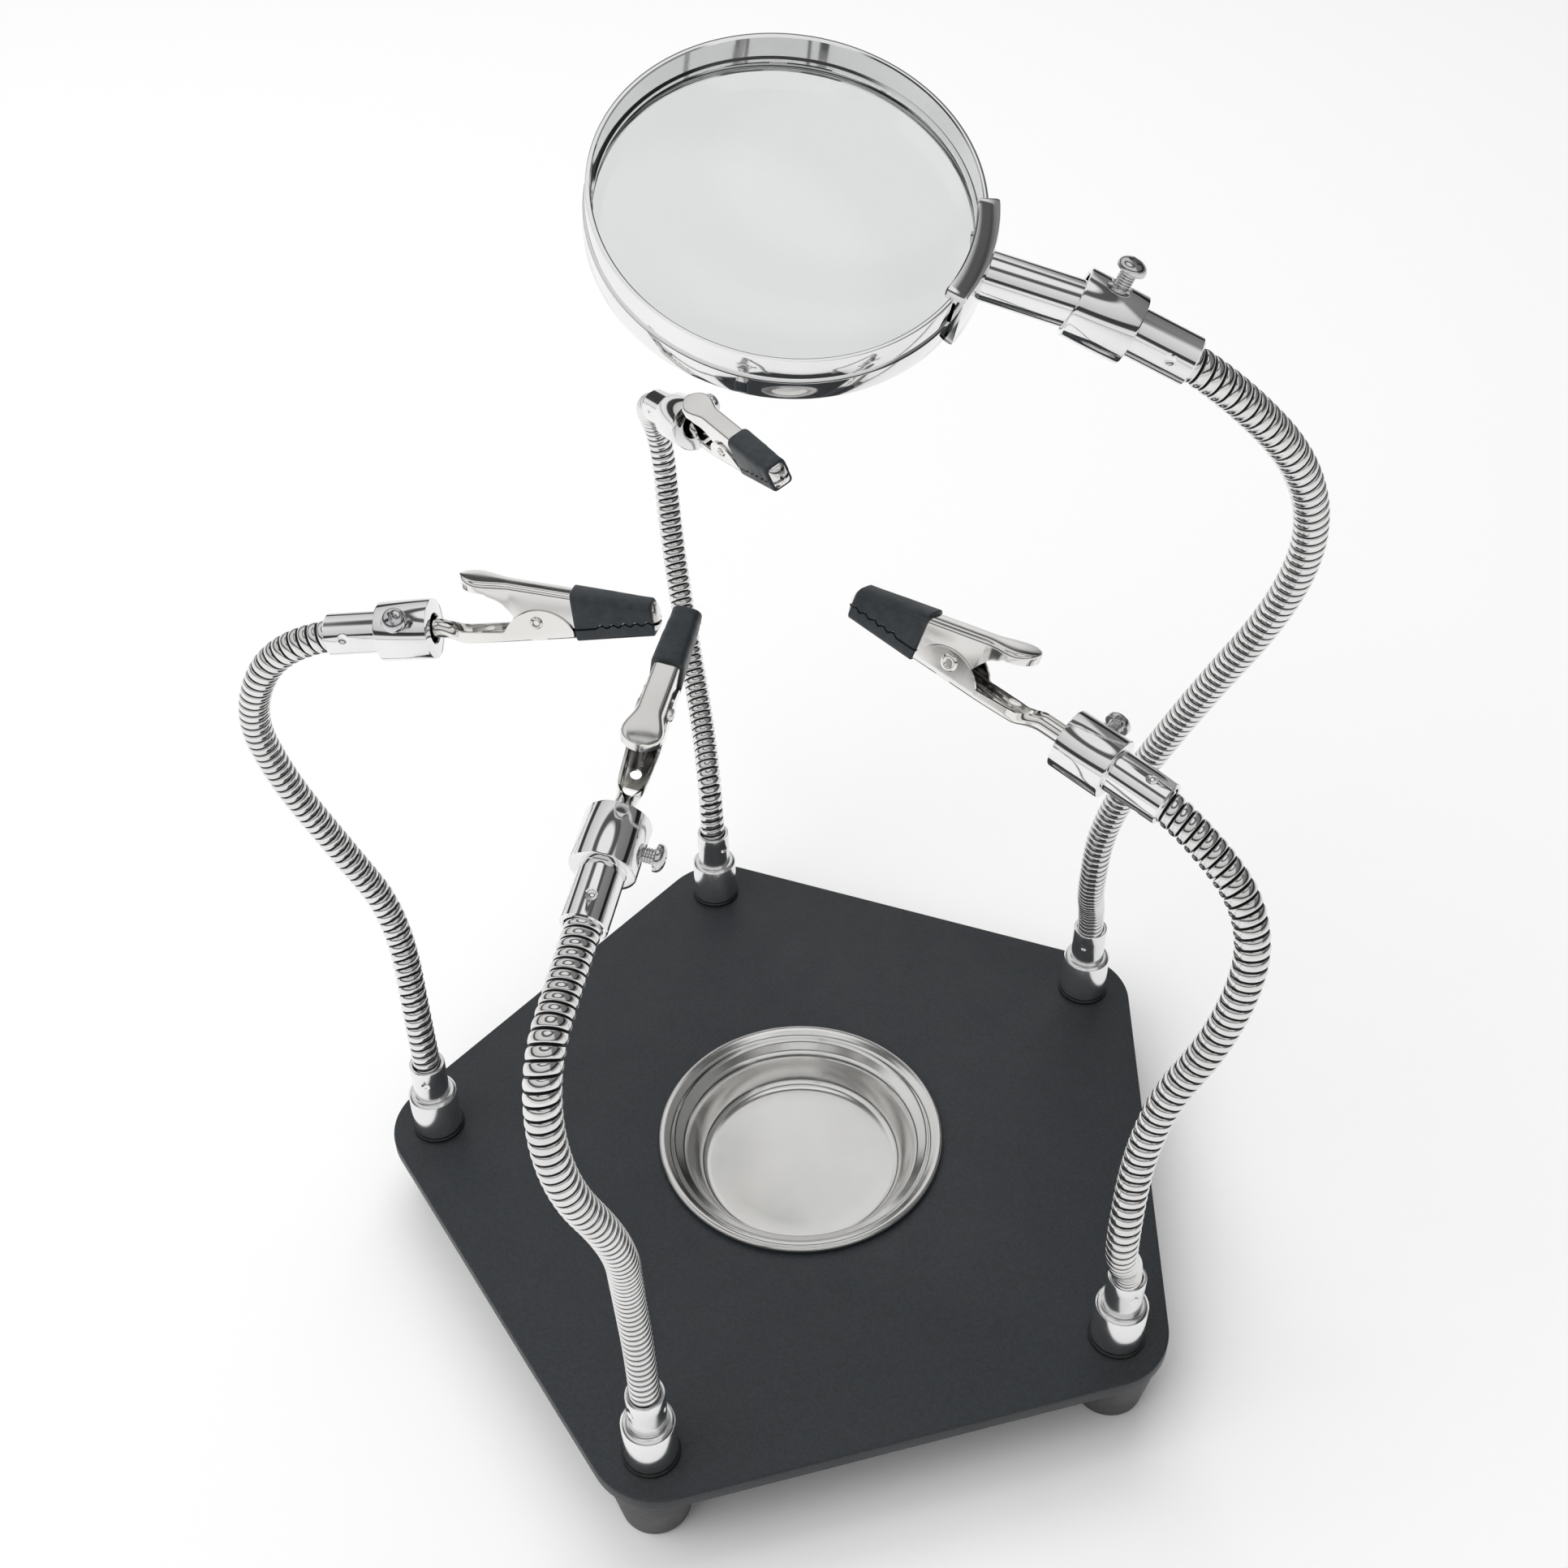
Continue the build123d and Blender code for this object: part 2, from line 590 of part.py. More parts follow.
def upper_boot():
    top = [(BOOT_END_X, top_z(BOOT_END_X) + BOOT_T), (BOOT_X, top_z(BOOT_X) + BOOT_T)]
    side = [(BOOT_X, MOUTH_Z + 2.4), *wave(MOUTH_GAP / 2), *top]
    core_side = [(BOOT_X - 2, top_z(BOOT_X - 2)), (TIP_X + 2, top_z(TIP_X + 2))]
    core_side += [(TIP_X + 2, FLOOR_Z), (BOOT_X - 2, FLOOR_Z)]
    core = side_plate(core_side, EAR_HALF * 2) & plan_plate(jaw_plan(BOOT_X - 2, JAW_HALF), FLOOR_Z, TIP_X)
    core += Pos(TIP_X, 0, 0) * Box(1, TIP_HALF * 2, EAR_R)
    return boot(side, FLOOR_Z, TIP_X, core)


def lower_boot():
    low = FLOOR_Z - BOOT_T
    side = [(BOOT_X, MOUTH_Z - MOUTH_GAP), *wave(-MOUTH_GAP / 2), (BOOT_END_X, low), (BOOT_X, low)]
    core = plan_plate(jaw_plan(BOOT_X - 2, JAW_HALF), FLOOR_Z, EAR_R)
    return boot(side, low, EAR_R, core)


CLIP_PIECES = {
    "lower_jaw": lower_jaw,
    "upper_jaw": upper_jaw,
    "rivet": rivet,
    "spring": spring,
    "upper_boot": upper_boot,
    "lower_boot": lower_boot,
}


# ---- magnifier ----


def handle_tube():
    tube = along_x(-HANDLE_IN, RING_X, HANDLE_R) - along_x(-HANDLE_IN * 2, RING_X, HANDLE_BORE_R)
    return tube - Pos(RING_X, 0, 0) * Cylinder(RING_R + CLASP_T, RING_H * 2)


def round_lens_axis(outline, turn=360):
    """Turn an outline of radii and heights round the lens axis, from the handle's side."""
    face = Plane.XZ * make_face(Polyline(*outline, close=True))
    return Pos(RING_X, 0, 0) * Rot(0, 0, 180 - turn / 2) * revolve(face, Axis.Z, turn)


def magnifier_ring():
    """A rolled rim of two bands, with a lip below the lens and a bead that keeps it in."""
    half = RING_H / 2
    inner = RING_R - RING_WALL
    bead_low = -half + RING_WALL + LENS_EDGE_T + LENS_GAP
    outline = [
        (RING_R - RING_LIP, -half),
        (RING_R, -half),
        (RING_R, 0),
        (RING_R - RING_STEP * 2, RING_STEP / 2),
        (RING_R - RING_STEP, RING_STEP),
        (RING_R - RING_STEP, half),
        (inner - RING_STEP, half),
        (inner - RING_STEP, bead_low + RING_STEP * 3),
        (inner - RING_STEP * 2, bead_low + RING_STEP * 2),
        (inner - RING_STEP * 2, bead_low),
        (inner, bead_low),
        (inner, -half + RING_WALL - LENS_GAP),
        (RING_R - RING_LIP, -half + RING_WALL - LENS_GAP),
    ]
    return round_lens_axis(outline)


def lens():
    """A glass lens, bulging the same on both faces."""
    middle = -RING_H / 2 + RING_WALL + LENS_EDGE_T / 2
    ball_r = (LENS_R**2 + LENS_SAG**2) / (2 * LENS_SAG)
    reach = ball_r - LENS_SAG - LENS_EDGE_T / 2
    shape = Cylinder(LENS_R, LENS_EDGE_T + LENS_SAG * 3)
    for side in (-1, 1):
        shape &= Pos(0, 0, side * reach) * Sphere(ball_r)
    return Pos(RING_X, 0, middle) * shape


def clasp():
    """The strip folded over the ring that carries the handle."""
    half = RING_H / 2
    lip_r = RING_R - CLASP_LIP
    outline = [
        (lip_r, half),
        (RING_R, half),
        (RING_R, -half),
        (lip_r, -half),
        (lip_r, -half - CLASP_LIP_T),
        (RING_R + CLASP_T, -half - CLASP_LIP_T),
        (RING_R + CLASP_T, half + CLASP_LIP_T),
        (lip_r, half + CLASP_LIP_T),
    ]
    return round_lens_axis(outline, 2 * CLASP_HALF_DEG)


MAGNIFIER_PIECES = {
    "magnifier_handle": handle_tube,
    "magnifier_clasp": clasp,
    "magnifier_ring": magnifier_ring,
    "magnifier_lens": lens,
}


# ---- the whole object ----


def base_nodes():
    return {
        "base_plate": base_plate(),
        "parts_tray": parts_tray(),
        "rubber_feet": on_every_post(rubber_foot()),
        "foot_screws": on_every_post(foot_screw()),
        "post_washers": on_every_post(post_washer()),
    }


def arm_nodes(name, arm):
    _, middle, upper = neck_pieces(arm)
    tip = tip_plane(arm).location
    return {
        f"post_{name}": Pos(turned(POST_CIRCLE_R, post_angle(arm))) * post(),
        f"gooseneck_{name}_middle": middle,
        f"gooseneck_{name}_upper": upper,
        f"connector_{name}": tip * connector(arm),
        f"clamp_screw_{name}": tip * clamp_screw(arm),
    }


def clip_nodes(name, arm, pieces):
    place = tip_plane(arm).location * Pos(arm["pull"], 0, 0)
    return {f"{piece}_{name}": place * shape for piece, shape in pieces.items()}


def build_nodes():
    nodes = base_nodes()
    nodes["gooseneck_roots"] = Compound(children=[neck_pieces(arm)[0] for arm in ARMS.values()])
    clip = {piece: make() for piece, make in CLIP_PIECES.items()}
    for name, arm in ARMS.items():
        nodes.update(arm_nodes(name, arm))
        if name == "magnifier":
            place = magnifier_plane(arm).location
            nodes.update({piece: place * make() for piece, make in MAGNIFIER_PIECES.items()})
        else:
            nodes.update(clip_nodes(name, arm, clip))
    return nodes


def main():
    os.makedirs("parts", exist_ok=True)
    for name, arm in ARMS.items():
        radii = route_radii(route_points(arm))
        print(name, "gooseneck radii", [round(r, 1) for r in radii])
    for name, shape in build_nodes().items():
        export_step(shape, f"parts/{name}.step")


if __name__ == "__main__":
    main()
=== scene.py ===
import json
from bisect import bisect_right
from math import cos, hypot, pi, radians, sin, sqrt

import bmesh
import bpy
from mathutils import Matrix, Vector, noise


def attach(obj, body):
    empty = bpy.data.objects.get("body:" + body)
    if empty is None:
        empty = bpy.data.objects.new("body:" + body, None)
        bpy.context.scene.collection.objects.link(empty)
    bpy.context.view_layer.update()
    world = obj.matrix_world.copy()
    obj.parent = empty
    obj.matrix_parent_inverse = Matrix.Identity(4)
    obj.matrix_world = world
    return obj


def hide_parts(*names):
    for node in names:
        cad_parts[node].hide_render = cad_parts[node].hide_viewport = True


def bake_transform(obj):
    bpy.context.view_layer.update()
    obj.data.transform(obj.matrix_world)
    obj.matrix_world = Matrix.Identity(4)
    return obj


# Helping-hands clamp: looks. The frame is in metres, +Z up, -Y towards the user.
# Small shapes are written in millimetres and scaled by MM when their mesh is made.

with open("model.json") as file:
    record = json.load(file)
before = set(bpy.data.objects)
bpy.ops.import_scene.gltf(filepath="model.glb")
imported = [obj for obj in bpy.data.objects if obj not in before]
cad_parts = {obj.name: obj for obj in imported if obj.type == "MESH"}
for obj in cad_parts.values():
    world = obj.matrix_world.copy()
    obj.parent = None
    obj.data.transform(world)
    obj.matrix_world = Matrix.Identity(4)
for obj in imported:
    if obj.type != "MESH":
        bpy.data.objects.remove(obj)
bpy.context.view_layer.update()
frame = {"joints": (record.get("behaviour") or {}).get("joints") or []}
JOINTS = {joint["name"]: joint for joint in frame["joints"]}
MM = 0.001
TURN = 2 * pi
AXIS_R = 0.01  # as near to its axis as a turned profile comes

# ---- camera ----
CAMERA_PLACE = Vector((-79.8, -296.8, 405.1)) * MM
CAMERA_AZIMUTH = -14.4925
CAMERA_HEIGHT = 40.4273
CAMERA_ROLL = -0.82838
SENSOR = 36.0
LENS_MM = 42.314

# ---- the CAD's dimensions that the looks repeat ----
SIDES = 5
PLATE_TOP = 22.5
POST_CIRCLE_R = 95.5
FIRST_POST_DEG = -126.0
WASHER_T = 1.0
POST_R = 6.2
POST_BODY_H = 12.5
SLEEVE_R = 4.5
SLEEVE_H = 10.5
POST_H = POST_BODY_H + SLEEVE_H
POST_MOUTH = PLATE_TOP + WASHER_T + POST_H
NECK_R = 3.5
SOCKET_R = 3.55
SOCKET_DEPTH = 8.0
COLLAR_R = 6.4
COLLAR_L = 11.5
CONNECTOR_L = 23.5
COLLAR_BORE_R = 5.4  # for the magnifier's handle
CLIP_BORE_R = 3.1
COLLAR_BORE_L = 10.0
CONNECTOR_SOCKET_L = 9.0
NECK_END = 17.5
PIVOT_X = 22.7
PIVOT_Z = 1.1
HANDLE_IN = 3.5
HANDLE_OUT = 15.8
RING_R = 35.5
RING_H = 10.6
CLASP_T = 1.5
RING_X = HANDLE_IN + HANDLE_OUT + CLASP_T + RING_R
MAGNIFIER_AIM = (151.3, 13.4, 25.3)

# rise: first route point above the post's mouth; lead: last straight run of the gooseneck.
ARMS = {
    "front": dict(post=0, rise=12.0, lead=14.0, route=[
        (-57.5, -79.5, 87.5), (-59, -87.5, 115), (-69.5, -91.5, 142), (-69.5, -86.5, 165.5),
    ]),
    "right": dict(post=1, rise=6.0, lead=10.0, route=[
        (43.5, -93, 76.5), (50, -83, 110), (64, -85, 136), (68.5, -81.5, 160.5),
    ]),
    "magnifier": dict(post=2, rise=5.0, lead=12.0, route=[
        (82, 16, 75.5), (81, 11, 105.5), (88.2, -6.6, 149.5), (98, -26.5, 194.5), (92.5, -33, 224),
    ]),
    "back": dict(post=3, rise=10.5, lead=16.5, route=[
        (3, 117, 69.5), (3.5, 138, 89.5), (4, 156, 112.5), (5, 166, 137),
    ]),
    "left": dict(post=4, rise=12.5, lead=17.0, route=[
        (-91, 46, 83.5), (-101.5, 50.5, 105.5), (-111, 51.5, 129), (-114.5, 47.5, 153),
    ]),
}
CLIP_ARMS = [name for name in ARMS if name != "magnifier"]


# ---- places ----


def turned(radius, degrees, height=0.0):
    angle = radians(degrees)
    return Vector((radius * cos(angle), radius * sin(angle), height))


def corner_angle(number):
    """Where a corner of the plate stands, with its post, in degrees from +x."""
    return FIRST_POST_DEG + number * 360 / SIDES


def on_curve(start, bend, end, t):
    """A point of the quadratic curve from start to end that leans towards bend."""
    return start * (1 - t) ** 2 + bend * 2 * t * (1 - t) + end * t**2


def spread(low, high, spacing):
    """Evenly set values from low to high, about this far apart."""
    count = max(1, round(abs(high - low) / spacing))
    return [low + (high - low) * n / count for n in range(count + 1)]


def moved(x=0.0, z=0.0):
    return Matrix.Translation((x, 0, z))


def frame_matrix(origin, x_way, z_way):
    """A placement from its origin in millimetres and two directions, taking millimetres to metres."""
    x_way = x_way.normalized()
    y_way = z_way.cross(x_way).normalized()
    z_way = x_way.cross(y_way)
    matrix = Matrix((x_way, y_way, z_way)).transposed().to_4x4()
    matrix.translation = origin * MM
    return matrix @ Matrix.Scale(MM, 4)


def roll_joint(name):
    return JOINTS["magnifier_roll" if name == "magnifier" else f"clip_{name}_roll"]


def mouth(name):
    return Vector(roll_joint(name)["pos_m"]) / MM


def tip_way(name):
    return Vector(roll_joint(name)["axis"]).normalized()


def screw_way(name):
    return Vector(JOINTS[f"clamp_screw_{name}_travel"]["axis"]).normalized()


def connector_matrix(name):
    """The connector's place: x out of its mouth, z towards its clamp screw."""
    return frame_matrix(mouth(name), tip_way(name), screw_way(name))


def clip_matrix(name):
    """A clip's place: x towards the tip, z towards the thumb pad, origin where the tail ends."""
    jaw = JOINTS[f"jaw_{name}_open"]
    side = -Vector(jaw["axis"])
    up = tip_way(name).cross(side)
    pivot = Vector(jaw["pos_m"]) / MM
    origin = pivot - tip_way(name) * PIVOT_X - up * PIVOT_Z
    return frame_matrix(origin, tip_way(name), up)


def aimed_matrix(origin, aim):
    """A placement from its heading, elevation and roll in degrees."""
    heading, elevation, roll = (radians(angle) for angle in aim)
    level = cos(elevation)
    forward = Vector((level * cos(heading), level * sin(heading), sin(elevation)))
    side = Vector((-sin(heading), cos(heading), 0))
    up = forward.cross(side) * cos(roll) + side * sin(roll)
    return frame_matrix(origin, forward, up)


def magnifier_matrix():
    return aimed_matrix(mouth("magnifier") - tip_way("magnifier") * HANDLE_IN, MAGNIFIER_AIM)


def post_matrix(arm):
    angle = corner_angle(arm["post"])
    foot = turned(POST_CIRCLE_R, angle, PLATE_TOP + WASHER_T)
    return frame_matrix(foot, turned(1, angle), Vector((0, 0, 1)))


# ---- materials ----
GRAIN_HEIGHT = 0.0002  # metres


def new_material(name):
    material = bpy.data.materials.new(name)
    material.use_nodes = True
    return material, material.node_tree.nodes, material.node_tree.links


def set_inputs(node, values):
    for name, value in values.items():
        node.inputs[name].default_value = value


def object_noise(nodes, links, scale, detail):
    """Noise fixed to the object, with its scale in cycles per metre."""
    place = nodes.new("ShaderNodeTexCoord")
    texture = nodes.new("ShaderNodeTexNoise")
    set_inputs(texture, {"Scale": scale, "Detail": detail})
    links.new(place.outputs["Object"], texture.inputs["Vector"])
    return texture.outputs["Fac"]


def ramp(nodes, links, fac, stops):
    """A colour ramp over this value, from its (position, colour) stops."""
    node = nodes.new("ShaderNodeValToRGB")
    elements = node.color_ramp.elements
    while len(elements) < len(stops):
        elements.new(0.5)
    for element, (position, color) in zip(elements, stops):
        element.position = position
        element.color = (*color, 1.0)
    links.new(fac, node.inputs["Fac"])
    return node.outputs["Color"]


def grey(value):
    return (value, value, value)


def add_bump(nodes, links, height, shader, strength):
    bump = nodes.new("ShaderNodeBump")
    set_inputs(bump, {"Strength": strength, "Distance": GRAIN_HEIGHT})
    links.new(height, bump.inputs["Height"])
    links.new(bump.outputs["Normal"], shader.inputs["Normal"])


def surface(name, tones, tone_noise, gloss_noise, gloss_stops, grain_noise, bump):
    """A material whose tone and gloss drift between two values each, with a fine grain."""
    material, nodes, links = new_material(name)
    shader = nodes["Principled BSDF"]
    tone = object_noise(nodes, links, *tone_noise)
    links.new(ramp(nodes, links, tone, list(zip((0.35, 0.65), tones))), shader.inputs["Base Color"])
    gloss = object_noise(nodes, links, *gloss_noise)
    links.new(ramp(nodes, links, gloss, gloss_stops), shader.inputs["Roughness"])
    grain = object_noise(nodes, links, *grain_noise)
    add_bump(nodes, links, grain, shader, bump)
    return material


def metal(name, low, high, rough_low, rough_high, grain, bump=0.01):
    """Bare or plated metal: its tone drifts slowly and its gloss is smeared."""
    gloss = [(0.3, grey(rough_low)), (0.75, grey(rough_high))]
    material = surface(name, (low, high), (60.0, 4.0), (240.0, 5.0), gloss, (grain, 2.0), bump)
    set_inputs(material.node_tree.nodes["Principled BSDF"], {"Metallic": 1.0})
    return material


def coating(name, low, high, rough_low, rough_high, grain, bump):
    """Paint, rubber or plastic: two close tones, uneven gloss and a fine texture."""
    gloss = [(0.35, grey(rough_low)), (0.7, grey(rough_high))]
    return surface(name, (low, high), (grain * 0.5, 2.0), (90.0, 4.0), gloss, (grain, 3.0), bump)


def glass_material():
    material, nodes, links = new_material("lens glass")
    shader = nodes["Principled BSDF"]
    set_inputs(shader, {"Base Color": (0.76, 0.775, 0.77, 1), "Transmission Weight": 1.0, "IOR": 1.5})
    smears = object_noise(nodes, links, 45.0, 5.0)
    rough = ramp(nodes, links, smears, [(0.45, grey(0.0)), (0.8, grey(0.02))])
    links.new(rough, shader.inputs["Roughness"])
    return material


def floor_material():
    material, nodes, _ = new_material("floor")
    looks = {"Base Color": (0.92, 0.92, 0.92, 1), "Roughness": 0.7, "Specular IOR Level": 0.2}
    set_inputs(nodes["Principled BSDF"], looks)
    return material


MATERIALS = {
    "powder": coating("powder coat", (0.017, 0.02, 0.023), (0.024, 0.028, 0.032), 0.42, 0.52, 2600.0, 0.3),
    "tray": metal("tray steel", (0.8, 0.795, 0.78), (0.85, 0.845, 0.83), 0.15, 0.19, 700.0, bump=0.004),
    "foot": coating("foot rubber", grey(0.045), grey(0.06), 0.5, 0.65, 1500.0, 0.2),
    "screw": metal("screw steel", (0.62, 0.62, 0.63), (0.76, 0.76, 0.77), 0.1, 0.2, 1500.0),
    "washer": coating("black washer", grey(0.006), grey(0.012), 0.35, 0.5, 1500.0, 0.15),
    "chrome": metal("chrome", grey(0.82), grey(0.87), 0.05, 0.08, 500.0, bump=0.002),
    "post": metal("post chrome", grey(0.82), grey(0.87), 0.14, 0.22, 500.0, bump=0.003),
    "neck": metal("gooseneck steel", (0.74, 0.735, 0.73), (0.82, 0.815, 0.81), 0.1, 0.16, 1800.0),
    "clip": metal("clip nickel", (0.8, 0.79, 0.77), (0.86, 0.85, 0.83), 0.1, 0.16, 1200.0, bump=0.004),
    # Painted shade: a near-black coat laid on the deepest faces of the gooseneck's grooves and in the
    # eyelets' bores, where shade falls.
    "painted_shade": coating("painted band shade", grey(0.012), grey(0.02), 0.55, 0.7, 1500.0, 0.1),
    "spring": metal("spring steel", grey(0.3), grey(0.5), 0.25, 0.4, 1500.0),
    "boot": coating("boot rubber", (0.017, 0.022, 0.026), (0.026, 0.032, 0.037), 0.38, 0.55, 1400.0, 0.15),
    "lens": glass_material(),
}


# ---- mesh building ----


def new_object(name, data):
    item = bpy.data.objects.new(name, data)
    bpy.context.scene.collection.objects.link(item)
    return item


def mesh_piece(name, vertices, faces, matrix, finish, sharp=40.0):
    """A piece from millimetre vertices, put in place, with its material."""
    mesh = bpy.data.meshes.new(name)
    mesh.from_pydata([matrix @ Vector(vertex) for vertex in vertices], [], faces)
    clean = bmesh.new()
    clean.from_mesh(mesh)
    bmesh.ops.remove_doubles(clean, verts=clean.verts, dist=1e-6)
    bmesh.ops.recalc_face_normals(clean, faces=clean.faces)
    clean.to_mesh(mesh)
    clean.free()
    piece = new_object(name, mesh)
    dress(piece, finish, sharp)
    return piece


def dress(piece, finish, sharp=40.0):
    """Give a piece its material, smooth but for edges sharper than this many degrees."""
    piece.data.materials.clear()
    piece.data.materials.append(MATERIALS[finish])
    piece.data.polygons.foreach_set("use_smooth", [True] * len(piece.data.polygons))
    piece.data.set_sharp_from_angle(angle=radians(sharp))


def ring_faces(rings, sides):
    """Quads between closed rings of vertices, each with this many sides."""
    faces = []
    for start in range(0, (rings - 1) * sides, sides):
        for n in range(sides):
            a, b = start + n, start + (n + 1) % sides
            faces.append((a, b, b + sides, a + sides))
    return faces


def end_faces(count, ends, quads):
    """Quads across the end loops of a folded section, which start at these vertices."""
    faces = []
    for base in ends:
        for n in range(quads):
            far = base + count - 1 - n
            faces.append((base + n, base + n + 1, far - 1, far))
    return faces


def settle(piece):
    """Replace a piece's mesh by its modified one, so that no modifier is left on it."""
    graph = bpy.context.evaluated_depsgraph_get()
    graph.update()
    mesh = bpy.data.meshes.new_from_object(piece.evaluated_get(graph))
    piece.modifiers.clear()
    piece.data = mesh
    return piece


def bevel(piece, width, segments, limit=35.0):
    modifier = piece.modifiers.new("bevel", "BEVEL")
    modifier.width = width * MM
    modifier.segments = segments
    modifier.limit_method = "ANGLE"
    modifier.angle_limit = radians(limit)
    return settle(piece)


def cut(piece, cutter):
    """Cut a piece with another one, which is then removed."""
    modifier = piece.modifiers.new("cut", "BOOLEAN")
    modifier.operation = "DIFFERENCE"
    modifier.solver = "EXACT"
    modifier.object = cutter
    settle(piece)
    bpy.data.objects.remove(cutter)
    return piece


def rounded(points, radius, steps):
    """A polyline's corners rounded by up to this radius; its ends stay."""
    points = [Vector(point) for point in points]
    result = [points[0]]
    for before, here, after in zip(points, points[1:], points[2:]):
        back = before - here
        ahead = after - here
        reach = min(radius, back.length * 0.45, ahead.length * 0.45)
        start = here + back.normalized() * reach
        end = here + ahead.normalized() * reach
        for n in range(steps + 1):
            result.append(on_curve(start, here, end, n / steps))
    result.append(points[-1])
    return result


def lathe(name, profile, matrix, finish, segments=96, reshape=None, sharp=40.0):
    """Turn (radius, height) points round z. reshape may move each point afterwards."""
    vertices = []
    for radius, height in profile:
        for n in range(segments):
            angle = TURN * n / segments
            point = Vector((radius * cos(angle), radius * sin(angle), height))
            vertices.append(reshape(point) if reshape else point)
    faces = ring_faces(len(profile), segments)
    return mesh_piece(name, vertices, faces, matrix, finish, sharp)


def tube_points(points, radius, sides):
    """Vertices and faces of a capped tube along a line of points."""
    points = [Vector(point) for point in points]
    ways = [(b - a).normalized() for a, b in zip(points, points[1:])]
    ways = [ways[0]] + [(a + b).normalized() for a, b in zip(ways, ways[1:])] + [ways[-1]]
    across = ways[0].orthogonal().normalized()
    vertices = []
    for point, way in zip(points, ways):
        across = (across - way * across.dot(way)).normalized()
        other = way.cross(across)
        for n in range(sides):
            angle = TURN * n / sides
            vertices.append(point + (across * cos(angle) + other * sin(angle)) * radius)
    faces = ring_faces(len(points), sides)
    faces.append(tuple(range(sides)))
    faces.append(tuple(range(len(vertices) - sides, len(vertices))))
    return vertices, faces


AROUND_X = Matrix(((0, 0, 1, 0), (0, 1, 0, 0), (-1, 0, 0, 0), (0, 0, 0, 1)))  # z axis turned to +x


# ---- goosenecks ----
BAND_PITCH = 2.1  # how far apart the wound bands lie where the neck is straight
BAND_STRETCH = 5.0  # how much farther apart they lie, times the bend in radians per millimetre
BAND_GROOVE = 1.1  # how deep the groove between two of them is
# Across one band: the share of its pitch, and how deep it lies there as a share of the groove.
BAND_SHAPE = (
    (0.0, 1.0), (0.045, 0.9), (0.095, 0.25), (0.2, 0.1), (0.34, 0.03),
    (0.5, 0.0), (0.66, 0.03), (0.8, 0.1), (0.905, 0.25), (0.955, 0.9),
)
SHADE_DEPTH = 0.9  # from this share of its depth on, a groove's faces get the painted shade
NECK_SPLIT = 0.55  # the share of its turns at which a neck's two lengths meet
NECK_SIDES = 30
SPLINE_STEPS = 60


def neck_controls(name):
    """The route points of a gooseneck, in millimetres, as in the CAD."""
    arm = ARMS[name]
    angle = corner_angle(arm["post"])
    end = mouth(name) - tip_way(name) * NECK_END
    first = turned(POST_CIRCLE_R, angle, POST_MOUTH - SOCKET_DEPTH)
    above = turned(POST_CIRCLE_R, angle, POST_MOUTH + arm["rise"])
    before_end = end - tip_way(name) * arm["lead"]
    return [first, above, *(Vector(point) for point in arm["route"]), before_end, end]


def smooth_line(controls):
    """The quadratic B-spline of the control points, as close-set points."""
    line = []
    last = len(controls) - 2
    for n in range(1, len(controls) - 1):
        start = controls[0] if n == 1 else (controls[n - 1] + controls[n]) / 2
        end = controls[-1] if n == last else (controls[n] + controls[n + 1]) / 2
        for step in range(SPLINE_STEPS):
            line.append(on_curve(start, controls[n], end, step / SPLINE_STEPS))
    return [*line, controls[-1]]


def lengths_along(points):
    """How far along its line each point lies."""
    lengths = [0.0]
    for a, b in zip(points, points[1:]):
        lengths.append(lengths[-1] + (b - a).length)
    return lengths


def carried_frames(line):
    """Directions along a line and a side direction carried along it without twisting."""
    ways = [(b - a).normalized() for a, b in zip(line, line[1:])]
    ways.append(ways[-1])
    side = ways[0].orthogonal().normalized()
    sides = []
    for way in ways:
        side = (side - way * side.dot(way)).normalized()
        sides.append(side)
    return ways, sides


def band_turns(lengths, ways):
    """How many bands have been wound by each point: they open out where the neck bends."""
    turns = [0.0]
    for n in range(1, len(ways)):
        step = lengths[n] - lengths[n - 1]
        bend = ways[n].angle(ways[n - 1], 0.0) / step
        turns.append(turns[-1] + step / (BAND_PITCH + BAND_STRETCH * bend))
    return turns


def at(values, xs, x):
    """The value at x between two lists, by straight interpolation."""
    low = min(max(bisect_right(xs, x) - 1, 0), len(xs) - 2)
    share = (x - xs[low]) / (xs[low + 1] - xs[low])
    return values[low].lerp(values[low + 1], share)


def neck_mesh(controls):
    """The wound neck as its lower and upper mesh."""
    line = smooth_line(controls)
    ways, sides = carried_frames(line)
    turns = band_turns(lengths_along(line), ways)
    total = int(turns[-1]) - 1
    last_turn = turns[-1] - 0.001
    meeting = int(total * NECK_SPLIT)
    bands = len(BAND_SHAPE)
    meshes = []
    for first, last in ((0, meeting), (meeting, total)):
        vertices, faces = [], []
        steps = (last - first) * NECK_SIDES
        for step in range(steps + NECK_SIDES + 1):
            for share, depth in BAND_SHAPE:
                turn = min(first + step / NECK_SIDES + share, last_turn)
                angle = TURN * step / NECK_SIDES
                centre = at(line, turns, turn)
                way = at(ways, turns, turn).normalized()
                side = at(sides, turns, turn).normalized()
                radius = NECK_R - BAND_GROOVE * depth
                out = side * cos(angle) + way.cross(side) * sin(angle)
                vertices.append(centre + out * radius)
        for step in range(steps):
            for k in range(bands - 1):
                a = step * bands + k
                faces.append((a, a + bands, a + bands + 1, a + 1))
            a = step * bands + bands - 1
            b = (step + NECK_SIDES) * bands
            faces.append((a, a + bands, b + bands, b))
        used = sorted({index for face in faces for index in face})
        place = {index: n for n, index in enumerate(used)}
        vertices = [vertices[index] for index in used]
        faces = [tuple(place[index] for index in face) for face in faces]
        meshes.append((vertices, faces))
    return meshes


def paint_shade(piece, is_dark):
    """Give the faces whose numbers pass this test painted shade: a near-black material standing in for the
    shade inside grooves and holes.
    """
    piece.data.materials.append(MATERIALS["painted_shade"])
    for number, face in enumerate(piece.data.polygons):
        if is_dark(number):
            face.material_index = 1


